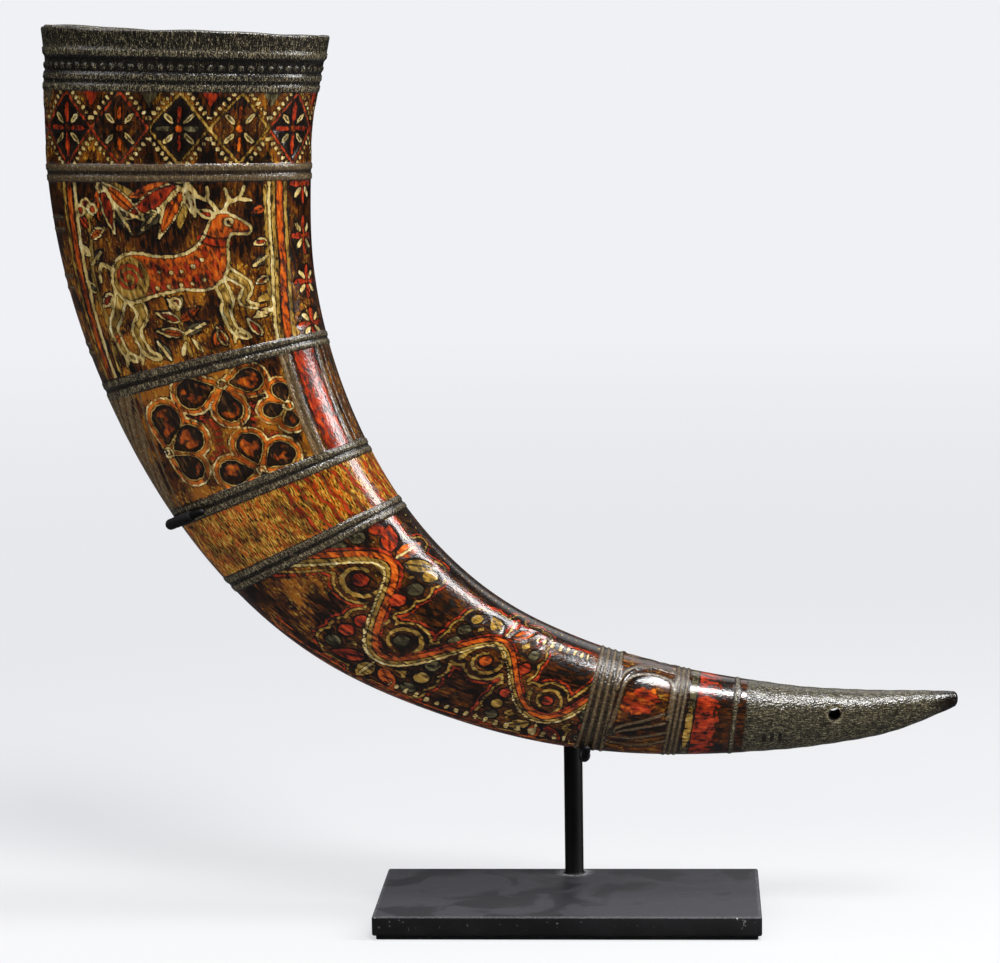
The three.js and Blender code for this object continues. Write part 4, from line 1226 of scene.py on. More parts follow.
# Warmth of the bare rings, and the stripe and collar before the tip.
WARM_FINE, WARM_RINGS, WARM_COLLAR, RING_1_WARM = 0.34, 0.2, 0.2, (42.9, 48.4)
warmth[zone(AT["ring_5"] - RING_MARGINS["ring_5"][0], AT["ring_6"] + RING_MARGINS["ring_6"][1])] = WARM_FINE
warmth[zone(*RING_1_WARM)] = WARM_FINE
for name in ("ring_2", "ring_3", "ring_4"):
    before, past = RING_MARGINS[name]
    warmth[zone(AT[name] - before, AT[name] + past)] = WARM_RINGS
OCHRE_STRIPE, RED_COLLAR, RED_FADES, COLLAR_ZONE = (315.9, 318.1), (318.7, 325.0), 0.09, 336.0
k = zone(AT["ring_6"] + 2.0, COLLAR_ZONE)
stripe = np.abs(s[k] - np.mean(OCHRE_STRIPE)) - np.ptp(OCHRE_STRIPE) / 2
lay(k, olive=stripe, ochre=stripe + 0.2 * np.maximum(np.abs(a[k] + 3) - 4, 0))
collar = np.maximum(RED_COLLAR[0] - s[k], RED_FADES * (s[k] - RED_COLLAR[1]))
lay(k, s[k] < AT["ring_7"] - 0.8, red=collar)
lay(k, ink=np.abs(s[k] - OCHRE_STRIPE[1] - 0.2) - 0.3)
warmth[k] = WARM_COLLAR
print("carving from", round(carve.min(), 2), "to", round(carve.max(), 2), "mm")

# %% [markdown]
# ## The horn's skin
# Now the points can be placed. The outside is moved out by the rings and the carving; displacing it in the
# shader would lose the relief on export. The lip's top edge is a little uneven, as a sawn horn's is. The
# hollow narrows to its closed end, where the half sizes shrink by the square root of 1 less the fifth power
# of the way down.

# %% Points of the horn
inset = np.repeat([ring.get("inset", 0.0) for ring in rings], ring_size)
wall = np.repeat([ring.get("wall", 0.0) for ring in rings], ring_size)
share = np.repeat([ring.get("share", 0.0) for ring in rings], ring_size)
ridge_rise = np.array(ridges)[:, 2]
out = np.where(outer, (ridge_share(s) * ridge_rise).max(1) + carve, 0.0)
skin = on_horn(np.clip(s, 0, HORN_LENGTH), w, out, inset)
inside = wall > 0
hollow_place = section(s[inside])
hollow_angle = outline_angle(hollow_place, w[inside])
hollow_place["half"] = (hollow_place["half"] - wall[inside]) * np.sqrt(1 - share[inside] ** TAPER_POWER)
skin[inside] = on_section(hollow_place, hollow_angle)
LIP_WAVES, LIP_FADE = ((0.35, 2.4, 0.6), (0.18, 7.7, 0.0), (0.1, 19.1, 0.0)), 5.0
lip_wave = sum(rise * np.sin(w * pace + lead) for rise, pace, lead in LIP_WAVES)
skin[:, 2] += np.where(inside, 0, lip_wave * np.clip(1 - s / LIP_FADE, 0, 1))

TIP_ROUND, DOME_ROWS, TUBE_SHARES = 1.8, 5, (0.04, 0.5, 0.96)
last = np.arange(ring_first[-1], flat_count)
tip_centre = section([HORN_LENGTH])["centre"][0]
tip_way = tip_centre - section([HORN_LENGTH - 1])["centre"][0]
tip_way /= np.linalg.norm(tip_way)
turn = np.arange(1, DOME_ROWS) / DOME_ROWS * np.pi / 2
dome = tip_centre + (skin[last] - tip_centre) * np.cos(turn)[:, None, None]
dome = (dome + tip_way * (TIP_ROUND * np.sin(turn))[:, None, None]).reshape(-1, 3)
tube_share = np.array(TUBE_SHARES)[:, None, None]
tube = (skin[front_border] + (skin[back_border] - skin[front_border]) * tube_share).reshape(-1, 3)
poles = np.stack([section([CAVITY_LENGTH])["centre"][0], tip_centre + tip_way * TIP_ROUND])

# Faces of the dome, the tube through the tip and the two poles.
columns = ring_size[-1]
k = np.arange(columns - 1)
dome_first = flat_count + columns * np.arange(DOME_ROWS - 1)
dome_chain = np.concatenate([[ring_first[-1]], dome_first])
dome_faces = np.concatenate([np.stack([i + k, j + k, j + k + 1, i + k + 1], -1)
                             for i, j in zip(dome_chain[:-1], dome_chain[1:])])
tube_first = flat_count + len(dome)
border = len(front_border)
tube_loops = tube_first + np.arange(len(tube)).reshape(-1, border)
loops = [front_border, *tube_loops, back_border]
tube_faces = np.concatenate([np.stack([i, np.roll(i, -1), np.roll(j, -1), j], -1)
                             for i, j in zip(loops[:-1], loops[1:])])
pole_first = tube_first + len(tube)
m = np.arange(ring_size[0] - 1)
pole_faces = np.concatenate([
    np.stack([np.full(len(m), pole_first), m, m + 1], -1),
    np.stack([dome_chain[-1] + k, np.full(len(k), pole_first + 1), dome_chain[-1] + k + 1], -1),
])
print("points of the skin:", flat_count, "with", len(dome), "in the dome and", len(tube), "in the hole")

# %% Merging the repeated points
everything = np.concatenate([skin, dome, tube, poles])
merged = np.arange(len(everything))
merged[ring_first + ring_size - 1] = ring_first
merged[dome_first + columns - 1] = dome_first
kept, number = np.unique(merged, return_inverse=True)
horn_quads = np.concatenate([squares, dome_faces, tube_faces])
horn_tris = np.concatenate([zips, pole_faces])
horn_faces = [number[horn_quads], number[horn_tris]]
horn = mesh_object("carved_horn", everything[kept], horn_faces, smooth_under=0)
print("horn triangles:", 2 * len(horn_quads) + len(horn_tris))

# %% [markdown]
# ## What the shader reads
# Each point carries its distances to the nine layers in three vectors, its warmth and flecks in a fourth,
# and in a fifth its place on the horn as if the horn were straight, so that grain and brush streaks run
# along it without a seam. A flat map of the skin is kept for baking, cut open along the outer edge.

# %% Attributes
STORED = {
    "paint_light": ("cream", "ochre", "orange"),
    "paint_dark": ("red", "black", "olive"),
    "paint_bare": ("petal", "raw", "ink"),
    "paint_ground": ("warmth", "fleck", "rise"),
    "straight": ("u", "v", "s"),
}
RIDGED, BEAD_ZONE, FULL_CARVE, HOLE_RIM = (6.3, 335.0), 2.5, 0.25, 1.1
PLAIN_RISE, BEAD_ROW_RISE, LEAST_RISE, RISE_SPAN = 0.5, 0.6, 0.2, 0.65

# Rise says how high a point stands. Bare horn is drawn lighter on ridges, on beads and round the hole:
# partly rubbed wear, partly painted light on the raised parts and painted shade in the grooves between them.
rise = np.where((s > RIDGED[0]) & (s < RIDGED[1]), ridge_share(s).max(1), PLAIN_RISE)
rise = np.maximum(rise, np.clip(carve / FULL_CARVE, 0, 1))
rise = np.where(np.abs(s - BEAD_ROW) < BEAD_ZONE, BEAD_ROW_RISE, rise)
rise = LEAST_RISE + RISE_SPAN * rise
# The lighter rim round the hole is a painted highlight on its bevel, partly rubbed.
rise = np.where(outer & (from_hole < HOLE_RIM), 1.0, rise)
straight = section(np.clip(s, 0, HORN_LENGTH))
relative = skin - straight["centre"]
extra = len(everything) - flat_count


def stretch(values, fill):
    """Values for every point, with one fill value for the dome, the tube and the poles."""
    return np.append(values, np.full(extra, fill))


fields = {
    "warmth": stretch(warmth, 0),
    "fleck": stretch(fleck, 0),
    "rise": stretch(rise, PLAIN_RISE),
    "u": stretch((relative * straight["across"]).sum(1), 0),
    "v": stretch((relative * straight["to_back"]).sum(1), 0),
    "s": stretch(s, HORN_LENGTH),
}
for layer, values in paint.items():
    within = outer | (layer == "raw")
    fields[layer] = stretch(np.where(within, values, FAR), -FAR if layer in ("raw", "ink") else FAR)
for name, parts in STORED.items():
    stored = horn.data.attributes.new(name, "FLOAT_VECTOR", "POINT")
    vectors = np.stack([fields[part] for part in parts], -1)
    stored.data.foreach_set("vector", vectors[kept].astype(np.float32).ravel())
print("stored with each point:", ", ".join(STORED))

# %% Flat map and finish of each face
# The map runs up from the hollow, over the outside, to the dome and the tube through the tip at its top.
HOLLOW_V, OUTSIDE_V, LIP_V, DOME_V = (0.02, 0.16), (0.24, 0.7), 3.0, (0.945, 0.005)
TUBE_V, POLE_V, POLE_U = (0.975, 0.98, 0.985), (0.19, 0.97), (0.5, 0.5)
outside_v = OUTSIDE_V[0] + OUTSIDE_V[1] * (s + LIP_V - inset) / (HORN_LENGTH + 2 * LIP_V)
map_v = np.where(inside, HOLLOW_V[0] + HOLLOW_V[1] * share, outside_v)
map_u = (w + 1) / 4
dome_v = np.repeat(DOME_V[0] + DOME_V[1] * np.arange(1, DOME_ROWS), columns)
dome_u = np.tile(map_u[last], DOME_ROWS - 1)
tube_u = np.tile(np.arange(border) / border, len(TUBE_SHARES))
map_v = np.concatenate([map_v, dome_v, np.repeat(TUBE_V, border), POLE_V])
map_u = np.concatenate([map_u, dome_u, tube_u, POLE_U])
corners = np.concatenate([horn_quads.ravel(), horn_tris.ravel()])
flat_map = horn.data.uv_layers.new(name="OFBake")
flat_map.data.foreach_set("uv", np.stack([map_u, map_v], -1)[corners].astype(np.float32).ravel())

LACQUERED, SCRAPED, DRILLED = range(3)
in_hollow = [flat_ring[part[:, 0]] < CAVITY_ROWS - 1 for part in (squares, zips)]
face_finish = np.concatenate([
    np.where(in_hollow[0], SCRAPED, LACQUERED),
    np.full(len(dome_faces), LACQUERED),
    np.full(len(tube_faces), DRILLED),
    np.where(in_hollow[1], SCRAPED, LACQUERED),
    np.full(ring_size[0] - 1, SCRAPED),
    np.full(columns - 1, LACQUERED),
])
horn.data.polygons.foreach_set("material_index", face_finish.astype(np.int32))
print("faces lacquered, scraped and drilled:", np.bincount(face_finish))

# %% [markdown]
# ## Finish: painted and lacquered horn
# Horn is keratin, close to a hard plastic: IOR about 1.55. Where it is bare it is grey and speckled with a
# satin cut surface; where it is painted, a brushed lacquer gives a deep gloss with a little waviness. The
# layers go on in the order the painter used: ground, darks, ochre, orange, red, and the light lines last.
# Separate materials for paint and bare horn would need a hard seam, so one shader mixes them by distance.
# Only the hollow and the hole through the tip have finishes of their own.

# %% Tones and grains of the horn
HORN_IOR = 1.55
# The grime tone darkens the dirty blotches, and is also the painted shade in the carved margins round paint.
GILT, GRIME_AND_SHADE, INK_AND_SHADE, BURNT = "#bb902f", "#0b0705", "#0c0907", "#120a06"
GROUND, FLECKS = ("#0f0805", "#4b250a", "#915412"), ("#2a1a06", "#8f6412", "#cfa23f")
FLECK_STROKES = [("fleck_orange", 0.51, 0.58, "#b4490c"), ("fleck_dark", 0.6, 0.68, "#241405")]
PETAL, PETAL_HOT = ("#0a0605", "#22150b", "#57391a"), ("#4c1c07", "#a8480e", "#d97620")
BARE, BARE_TIP = ("#0c0a07", "#2b271f", "#8b8064"), ("#1b1811", "#433e2f", "#857d65")
BARE_BROWN = ("#251a0f", "#705737", "#b8a077")
TIP_PALE, TIP_BURNT = (325.0, 345.0), (394.0, 403.0)
PAINTS = {  # dark, middle and light tone of each paint
    "black": ("#060506", "#120c09", "#2a1e12"),
    "olive": ("#25200f", "#4a432c", "#77704f"),
    "ochre": ("#4e350f", "#94702a", "#c9a95c"),
    "orange": ("#5c210a", "#b0470f", "#d27022"),
    "red": ("#3c1006", "#8f280f", "#bd481f"),
    "cream": ("#80602a", "#c5a965", "#e8dbab"),
}
# Each paint but black gets painted shade in the carved margin round it, and the light lines get the most.
COATS = [  # paint, how dark the carved margin round it is, and the wear below which it is thin
    ("black", 0, 0.4), ("olive", 0.5, 0.36), ("ochre", 0.7, 0.36),
    ("orange", 0.7, 0.38), ("red", 0.7, 0.38),
]
LIGHT_LINES = ("cream", 0.85, 0.3)
PETAL_RINGS = [  # distance at which each ring of a petal starts, its worn and its fresh tone
    (-0.5, "#150b06", "#150b06"), (0, "#5a3511", "#bd9a4e"), (0.36, "#1a0d06", "#1a0d06"),
    (0.6, "#9c420d", "#d96f1a"), (1.55, "#1d0f06", "#1d0f06"), (1.7, "#ab7a2c", "#f0dc98"),
    (2.3, "#1d0f06", "#1d0f06"),
]
GRAINS = {  # size of each noise in mm across and along the horn, and its detail
    "wobble": (1.5, 1.5, 3), "streaks": (0.8, 6, 4), "wear": (1.3, 3, 4), "blotch": (5, 9, 4),
    "patches": (9, 12, 3), "gilt": (0.6, 1.6, 3), "fleck_tone": (0.36, 2, 3),
    "fleck_orange": (0.5, 3.2, 3), "fleck_dark": (0.4, 1.8, 2), "petal_core": (5, 5, 2),
    "uneven": (3.2, 3.2, 3), "speck_short": (0.3, 0.5, 2), "speck_long": (0.3, 2.2, 2),
    "dents": (0.55, 1, 1),
}
print("paints:", ", ".join(PAINTS), "with", len(GRAINS), "grains")

# %% Lacquered horn
# To the eye: a dark glossy skin under rubbed, brushed colours, with dull grey horn wherever it is bare.
lacquer, add = new_material("painted_lacquered_horn")
along_horn = add("Attribute", out=1, attribute_name="straight")
field = {"s": add("SeparateXYZ", (along_horn,), out=2)}
for stored in ("paint_light", "paint_dark", "paint_bare", "paint_ground"):
    vector = add("Attribute", out=1, attribute_name=stored)
    for i, name in enumerate(STORED[stored]):
        field[name] = add("SeparateXYZ", (vector,), out=i)
grain = {}
for name, (wide, long, detail) in GRAINS.items():
    scaled = add("VectorMath", (along_horn, (1 / wide, 1 / wide, 1 / long)), operation="MULTIPLY")
    grain[name] = add("TexNoise", {"Vector": scaled, "Scale": 1.0, "Detail": detail})
wear = grain["wear"]
wobble = add("TimesPlus", (grain["wobble"], 1.1, -0.55))
tone = add("TimesPlus", (add("Plus", (grain["streaks"], wear)), 1.6, -1.1))


def three_tones(share, dark, middle, light):
    """Colour from dark through middle to light as a share goes from 0 to 1."""
    lower = add("Smooth", (share, 0.0, 0.5))
    lower = add("Blend", (lower, dark, middle))
    upper = add("Smooth", (share, 0.5, 1.0))
    return add("Blend", (upper, lower, light))


# Ground: brown lacquer, lighter and gilded in patches where it is warm.
patchy = add("Smooth", (grain["patches"], 0.4, 0.62))
warm = add("Times", (field["warmth"], add("TimesPlus", (patchy, 1.1, 0.25))))
ground_share = add("Plus", (tone, add("Plus", (warm, -0.45))))
gilded = add("Smooth", (grain["gilt"], 0.56, 0.66))
gilded = add("Times", (gilded, add("Smooth", (warm, 0.2, 0.7))))
colour = add("Blend", (gilded, three_tones(ground_share, *GROUND), GILT))

# Brushed flecks, drawn out along the horn.
flecked = three_tones(add("TimesPlus", (grain["fleck_tone"], 4.6, -1.8)), *FLECKS)
for name, start, end, tint in FLECK_STROKES:
    strokes = add("Smooth", (grain[name], start, end, 0.0, 0.9))
    flecked = add("Blend", (strokes, flecked, tint))
colour = add("Blend", (field["fleck"], colour, flecked))

EDGE, MARGIN_SHADE_FROM, MARGIN_SHADE_FULL, WEAR_SPAN, WORN_LEFT = 0.12, 0.5, 0.1, 0.14, 0.2


def coat(base, layer, margin_shade, cover):
    """Lays a paint inside its edge, over painted shade in the carved margin round it, thin where the wear
    noise is low.
    """
    distance = add("Plus", (field[layer], wobble))
    margin_shade_share = add("Smooth", (distance, MARGIN_SHADE_FROM, MARGIN_SHADE_FULL, 0.0, margin_shade))
    base = add("Blend", (margin_shade_share, base, GRIME_AND_SHADE))
    within = add("Smooth", (distance, EDGE, -EDGE))
    worn = add("Smooth", (wear, cover, cover + WEAR_SPAN, WORN_LEFT, 1.0))
    laid = add("Times", (within, worn))
    return add("Blend", (laid, base, three_tones(tone, *PAINTS[layer])))


for layer, margin_shade, cover in COATS:
    colour = coat(colour, layer, margin_shade, cover)

# Petals: one distance through a dark or hot core and rings of gold, orange and black, all well rubbed.
petal_edge = add("TimesPlus", (wobble, 1.1, field["petal"]))
hot = add("Smooth", (grain["petal_core"], 0.5, 0.62))
hot = add("Times", (hot, add("Smooth", (petal_edge, -1.0, -1.7))))
petal_colour = add("Blend", (hot, three_tones(tone, *PETAL), three_tones(tone, *PETAL_HOT)))
uneven = add("Smooth", (grain["uneven"], 0.36, 0.62))
for start, worn, fresh in PETAL_RINGS:
    ring_tone = add("Blend", (uneven, worn, fresh))
    past = add("Smooth", (petal_edge, start - EDGE, start + EDGE))
    petal_colour = add("Blend", (past, petal_colour, ring_tone))
on_petal = add("Smooth", (petal_edge, 2.8, 2.6))
core_share = add("Smooth", (petal_edge, 0.1, 0.6, 1.0, 0.0))
rubbed = add("Smooth", (wear, 0.38, 0.56, 0.08, 1.0))
for part in (core_share, rubbed):
    laid = add("Times", (on_petal, part))
    colour = add("Blend", (laid, colour, petal_colour))
colour = coat(colour, *LIGHT_LINES)
grimy = add("Smooth", (grain["blotch"], 0.52, 0.36, 0.0, 0.6))
colour = add("Blend", (grimy, colour, GRIME_AND_SHADE))

# Bare horn: grey, with light and dark specks, paler towards the tip, and lighter on the ridges' tops, partly
# rubbed wear and partly painted light, with painted shade in the grooves.
specks = add("Times", (add("Plus", (grain["speck_short"], grain["speck_long"])), 0.5))
contrast = add("Smooth", (field["warmth"], 0.1, 0.34, 4.6, 2.0))
speckled = add("Times", (add("Plus", (specks, -0.5)), contrast))
bare_share = add("TimesPlus", (field["rise"], 0.64, speckled))
paler = add("Smooth", (field["s"], *TIP_PALE))
browned = add("Smooth", (field["warmth"], 0.1, 0.6, 0.0, 0.75))
burnt = add("Smooth", (field["s"], *TIP_BURNT))
bare = three_tones(bare_share, *BARE)
for where, tones in ((paler, BARE_TIP), (browned, BARE_BROWN)):
    bare = add("Blend", (where, bare, three_tones(bare_share, *tones)))
bare = add("Blend", (burnt, bare, BURNT))
bare_edge = add("TimesPlus", (wobble, 0.7, field["raw"]))
is_bare = add("Smooth", (bare_edge, 0.2, -0.2))
colour = add("Blend", (is_bare, colour, bare))
# Ink lines, with dark lines of painted shade at the feet of the arch's ridges and round the hole.
ink_edge = add("TimesPlus", (wobble, 0.4, field["ink"]))
inked = add("Smooth", (ink_edge, 0.15, -0.15, 0.0, 0.85))
colour = add("Blend", (inked, colour, INK_AND_SHADE))

# Gloss and relief: brushed lacquer where painted, a satin cut with dents where bare.
gloss = add("Smooth", (wear, 0.35, 0.65, 0.26, 0.12))
satin = add("Smooth", (specks, 0.35, 0.65, 0.28, 0.14))
rough = add("Mix", {0: is_bare, 2: gloss, 3: satin})
dented = add("Times", (grain["dents"], add("TimesPlus", (is_bare, 0.2, 0.07))))
height = add("TimesPlus", (wear, 0.05, dented))
bump = add("Bump", {"Height": height, "Distance": MM, "Strength": 0.8})
surface = add("BsdfPrincipled", {
    "Base Color": colour, "Roughness": rough, "IOR": HORN_IOR, "Normal": bump,
    "Coat Weight": 0.3, "Coat Roughness": 0.05, "Coat Normal": bump,
})
add("OutputMaterial", {"Surface": surface})
print("nodes in the lacquer:", len(lacquer.node_tree.nodes))


# %% Inside of the horn
def plain_finish(name, grain, tones, constant, limits=None, dents=None, rough=None, stored=None):
    """Finish with one noise that mixes two tones, and may dent the surface or vary its roughness."""
    material, add = new_material(name)
    wide, long, detail = grain
    place = add("Attribute", out=1, attribute_name=stored) if stored else add("TexCoord", out=3)
    scaled = add("VectorMath", (place, (1 / wide, 1 / wide, 1 / long)), operation="MULTIPLY")
    mark = add("TexNoise", {"Vector": scaled, "Scale": 1.0, "Detail": detail})
    share = add("Smooth", (mark, *limits)) if limits else mark
    surface = {"Base Color": add("Blend", (share, *tones)), **constant}
    if dents:
        surface["Normal"] = add("Bump", {"Height": mark, "Distance": dents[0] * MM, "Strength": dents[1]})
    if rough:
        surface["Roughness"] = add("Smooth", (mark, 0.3, 0.7, *rough))
    add("OutputMaterial", {"Surface": add("BsdfPrincipled", surface)})
    return material


# To the eye: a dull brown bore with long scraper marks, and a near-black hole wall, painted shade so that
# the hole reads as dark.
BORE = {"Roughness": 0.62, "IOR": HORN_IOR}
SHADED_HOLE_WALL = {"Roughness": 0.95, "Specular IOR Level": 0.05}
bore = plain_finish("scraped_horn_bore", (0.8, 12.0, 3), ("#1d1711", "#4a3f30"), BORE,
                    limits=(0.3, 0.7), stored="straight")
drilled = plain_finish("drilled_horn_painted_shade", (0.5, 0.5, 2), ("#040302", "#0f0b08"), SHADED_HOLE_WALL, stored="straight")
for finish in (lacquer, bore, drilled):
    horn.data.materials.append(finish)
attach(horn, "horn")
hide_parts("horn")
print("finishes of the horn:", len(horn.data.materials))

# %% [markdown]
# ## Rods, tubes and slabs of the stand
# The stand is a flat steel plate, a round post and bent rods. All of them are rings of points along a path:
# circles along a rod, rounded rectangles up a plate. Bevelled curves and cubes would do, with less say over
# their points. One function closes the ends on a middle point, or joins the rings of a tube in a loop.


# %% Skin over rings
def skin_over(rings, loop=False):
    """Points and faces over rings of equal counts, closed at both ends by a fan, or joined as a loop."""
    count, sides = rings.shape[:2]
    i = np.arange(count if loop else count - 1)[:, None]
    k = np.arange(sides)[None]
    after, ahead = (i + 1) % count, (k + 1) % sides
    quads = np.stack([i * sides + k, i * sides + ahead, after * sides + ahead, after * sides + k], -1)
    quads = quads.reshape(-1, 4)
    points = rings.reshape(-1, 3)
    if loop:
        return points, [quads]
    middles = rings[[0, -1]].mean(1)
    k = np.arange(sides)
    last = (count - 1) * sides
    fans = np.concatenate([
        np.stack([(k + 1) % sides, k, np.full(sides, len(points))], -1),
        np.stack([last + k, last + (k + 1) % sides, np.full(sides, len(points) + 1)], -1),
    ])
    return np.concatenate([points, middles]), [quads, fans]


def rounded_outline(width, depth, radius, per_corner=6):
    """Rectangle with round corners, counter-clockwise: a quarter circle at each corner."""
    quarter_turn = np.linspace(0, np.pi / 2, per_corner)
    angle = (quarter_turn + np.pi / 2 * np.arange(4)[:, None]).ravel()
    signs = np.repeat([[1, 1], [-1, 1], [-1, -1], [1, -1]], per_corner, axis=0)
    centre = signs * (np.array([width, depth]) / 2 - radius)
    return centre + radius * np.stack([np.cos(angle), np.sin(angle)], -1)


def slab(low, high, edge, corner):
    """Plate between two corners of a box, drawn in along a quarter circle at its bottom and top edges."""
    width, depth = (high - low)[:2]
    bend = np.linspace(0, np.pi / 2, 5)
    gain, loss = edge * (1 - np.cos(bend)), edge * (1 - np.sin(bend))
    inset = np.concatenate([[3 * edge], loss, gain, [3 * edge]])
    height = np.concatenate([[low[2]], low[2] + gain, high[2] - loss, [high[2]]])
    rings = []
    for draw_in, z in zip(inset, height):
        flat = rounded_outline(width - 2 * draw_in, depth - 2 * draw_in, max(corner - draw_in, 0.05))
        rings.append(np.column_stack([flat, np.full(len(flat), z)]))
    return skin_over(np.array(rings))


def carried(path, side, radius, sides):
    """Circles round a path's points, each square to the path, with a given side direction."""
    along = np.gradient(path, axis=0)
    along /= np.linalg.norm(along, axis=1, keepdims=True)
    side = side - along * (side * along).sum(1, keepdims=True)
    side /= np.linalg.norm(side, axis=1, keepdims=True)
    up = np.cross(along, side)
    turn = 2 * np.pi * np.arange(sides) / sides
    ring = np.cos(turn)[:, None] * side[:, None] + np.sin(turn)[:, None] * up[:, None]
    return path[:, None] + ring * np.reshape(radius, (-1, 1, 1)), along


def even_steps(path, step):
    """The same path at even steps of about a length."""
    reach = np.append(0, np.cumsum(np.linalg.norm(np.diff(path, axis=0), axis=1)))
    at = np.linspace(0, reach[-1], int(np.ceil(reach[-1] / step)) + 1)
    return np.stack([np.interp(at, reach, path[:, axis]) for axis in range(3)], -1)


def dome_end(rings, along, length, rows=5):
    """Rings with a rounded end added: the last ring shrinks by the cosine while it moves by the sine."""
    middle = rings[-1].mean(0)
    turn = np.linspace(0, np.pi / 2, rows + 1)[1:-1]
    more = middle + (rings[-1] - middle) * np.cos(turn)[:, None, None]
    more = more + along[-1] * (length * np.sin(turn))[:, None, None]
    return np.concatenate([rings, more])


print("sides of a rounded outline:", len(rounded_outline(1, 1, 0.1)))

# %% [markdown]
# ## Finish of the stand
# The steel is sprayed with satin black paint: nearly black, a soft wide sheen, and a fine orange peel. The
# top of the plate is dusty, with rubbed smears, and a few bright chips sit on its edges, along a lighter
# line that is partly rubbed paint and partly a painted highlight. Soft black tubing, duller than the paint,
# keeps the hooks from scratching the horn. Dust could be strewn as grains, but from here it is only a tone,
# so noises of its size break up each mark.

# %% Stand finishes
PLATE_TOP, POST_X, POST_Y = 7.85, 0.8, 26.5
PAINT_TONES, DUSTY_TONES = ("#070708", "#0e0e0f"), ("#121213", "#1b1b1d")
STAND_GRAINS = {  # size of each noise in mm, and its settings
    "peel": (0.9, {"Detail": 2}),
    "cloud": (24, {"Detail": 4, "Roughness": 0.65}),
    "smear": (20, {"Detail": 6, "Distortion": 0.8}),
    "powder": (0.7, {"Detail": 2}),
    "chip": (1.3, {"Detail": 1}),
}


def black_paint(name, dusty):
    """Satin black spray paint: a soft sheen, and if asked dust on the upper face and chips on its edges."""
    material, add = new_material(name)
    place = add("TexCoord", out=3)
    grain = {}
    for kind in STAND_GRAINS if dusty else ("peel", "cloud"):
        size, settings = STAND_GRAINS[kind]
        grain[kind] = add("TexNoise", {"Vector": place, "Scale": 1 / (size * MM), **settings})
    tones = DUSTY_TONES if dusty else PAINT_TONES
    clouded = add("Smooth", (grain["cloud"], 0.35, 0.7))
    colour = add("Blend", (clouded, tones[0], tones[1]))
    if dusty:
        height = add("SeparateXYZ", (place,), out=2)
        upper = add("Smooth", (height, (PLATE_TOP - 0.3) * MM, (PLATE_TOP - 0.05) * MM))
        wiped = add("Smooth", (grain["smear"], 0.44, 0.53, 0.4, 0.84))
        post_foot = (POST_X * MM, POST_Y * MM, PLATE_TOP * MM)
        from_post = add("VectorMath", (place, post_foot), out=1, operation="DISTANCE")
        near_post = add("Smooth", (from_post, 7.4 * MM, 4.0 * MM))
        edge = add("Attribute", out=2, attribute_name="edge")
        marks = [  # where a mark lies, the noise that breaks it up with its limits, and its tone
            (add("Times", (wiped, upper)), "powder", (0.3, 0.7, 0.7, 1), "#444348"),
            (near_post, "powder", (0.4, 0.62, 0.15, 0.9), "#a2a2a5"),
            # A lighter line along the rounded upper edge: partly rubbed paint, partly a painted highlight.
            (add("Smooth", (edge, 0.3, 0.9)), "powder", (0.4, 0.7, 0.1, 0.6), "#6c6c70"),
            (edge, "chip", (0.72, 0.75), "#c9c9cb"),
        ]
        for where, kind, limits, tone in marks:
            broken = add("Smooth", (grain[kind], *limits))
            marked = add("Times", (where, broken))
            colour = add("Blend", (marked, colour, tone))
        rough = add("Smooth", (grain["smear"], 0.35, 0.7, 0.38, 0.55))
    else:
        rough = add("Smooth", (grain["cloud"], 0.3, 0.7, 0.4, 0.52))
    bump = add("Bump", {"Height": grain["peel"], "Distance": 0.03 * MM, "Strength": 0.5})
    surface = {"Base Color": colour, "Roughness": rough, "Specular IOR Level": 0.25, "Normal": bump}
    add("OutputMaterial", {"Surface": add("BsdfPrincipled", surface)})
    return material


plate_paint = black_paint("satin_black_paint_dusty", True)
rod_paint = black_paint("satin_black_paint", False)

# Felt is a black line without shine under the plate. Tubing is as dark as the paint, but dull, so that the
# bare rod end shines beside it. Screw steel is plain turned metal.
felt = plain_finish("pressed_black_felt", (0.5 * MM, 0.5 * MM, 4), ("#070708", "#1c1c1e"),
                    {"Roughness": 0.95}, dents=(0.2, 0.8))
tubing = plain_finish("soft_black_tubing", (0.6 * MM, 0.6 * MM, 3), ("#070708", "#101011"), {},
                      dents=(0.05, 0.6), rough=(0.55, 0.75))
steel = plain_finish("plain_zinc_steel", (0.4 * MM, 0.4 * MM, 2), ("#8f9194", "#b9bbbe"),
                     {"Metallic": 1.0}, rough=(0.3, 0.45))
stand_finishes = (plate_paint, rod_paint, felt, tubing, steel)
print("finishes of the stand:", ", ".join(finish.name for finish in stand_finishes))

# %% [markdown]
# ## Plate, pad, post and screw
# The plate is cut from 1/4 inch steel and stands on a thin felt pad. The post is 1/4 inch bar, held from
# below by a countersunk screw, and its top is bored to take the spine. The screw can't be seen, so the
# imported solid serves; the others are made anew with the small rounds that catch light on a real edge.

# %% Plate, pad and post
PLATE_EDGE, PLATE_CORNER, PAD_EDGE, PAD_CORNER = 0.6, 0.9, 0.3, 0.8
low, high = (np.array(corner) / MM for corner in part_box("base_plate"))
plate_points, plate_faces = slab(low, high, PLATE_EDGE, PLATE_CORNER)
plate = mesh_object("base_plate_painted", plate_points, plate_faces)
# The edge's share is 1 on the rounded upper edge. The last ring and the two end points are the flat top's.
edge_share = np.clip(1.2 - np.abs(plate_points[:, 2] - high[2]) / PLATE_EDGE, 0, 1)
edge_share[-2 - len(rounded_outline(1, 1, 0.1)) :] = 0
stored = plate.data.attributes.new("edge", "FLOAT", "POINT")
stored.data.foreach_set("value", edge_share.astype(np.float32))
dress(plate, plate_paint, "stand", "black_paint", "base_plate")

low, high = (np.array(corner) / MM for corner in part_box("base_pad"))
pad = mesh_object("base_pad_felt", *slab(low, high, PAD_EDGE, PAD_CORNER))
dress(pad, felt, "stand", "felt", "base_pad")

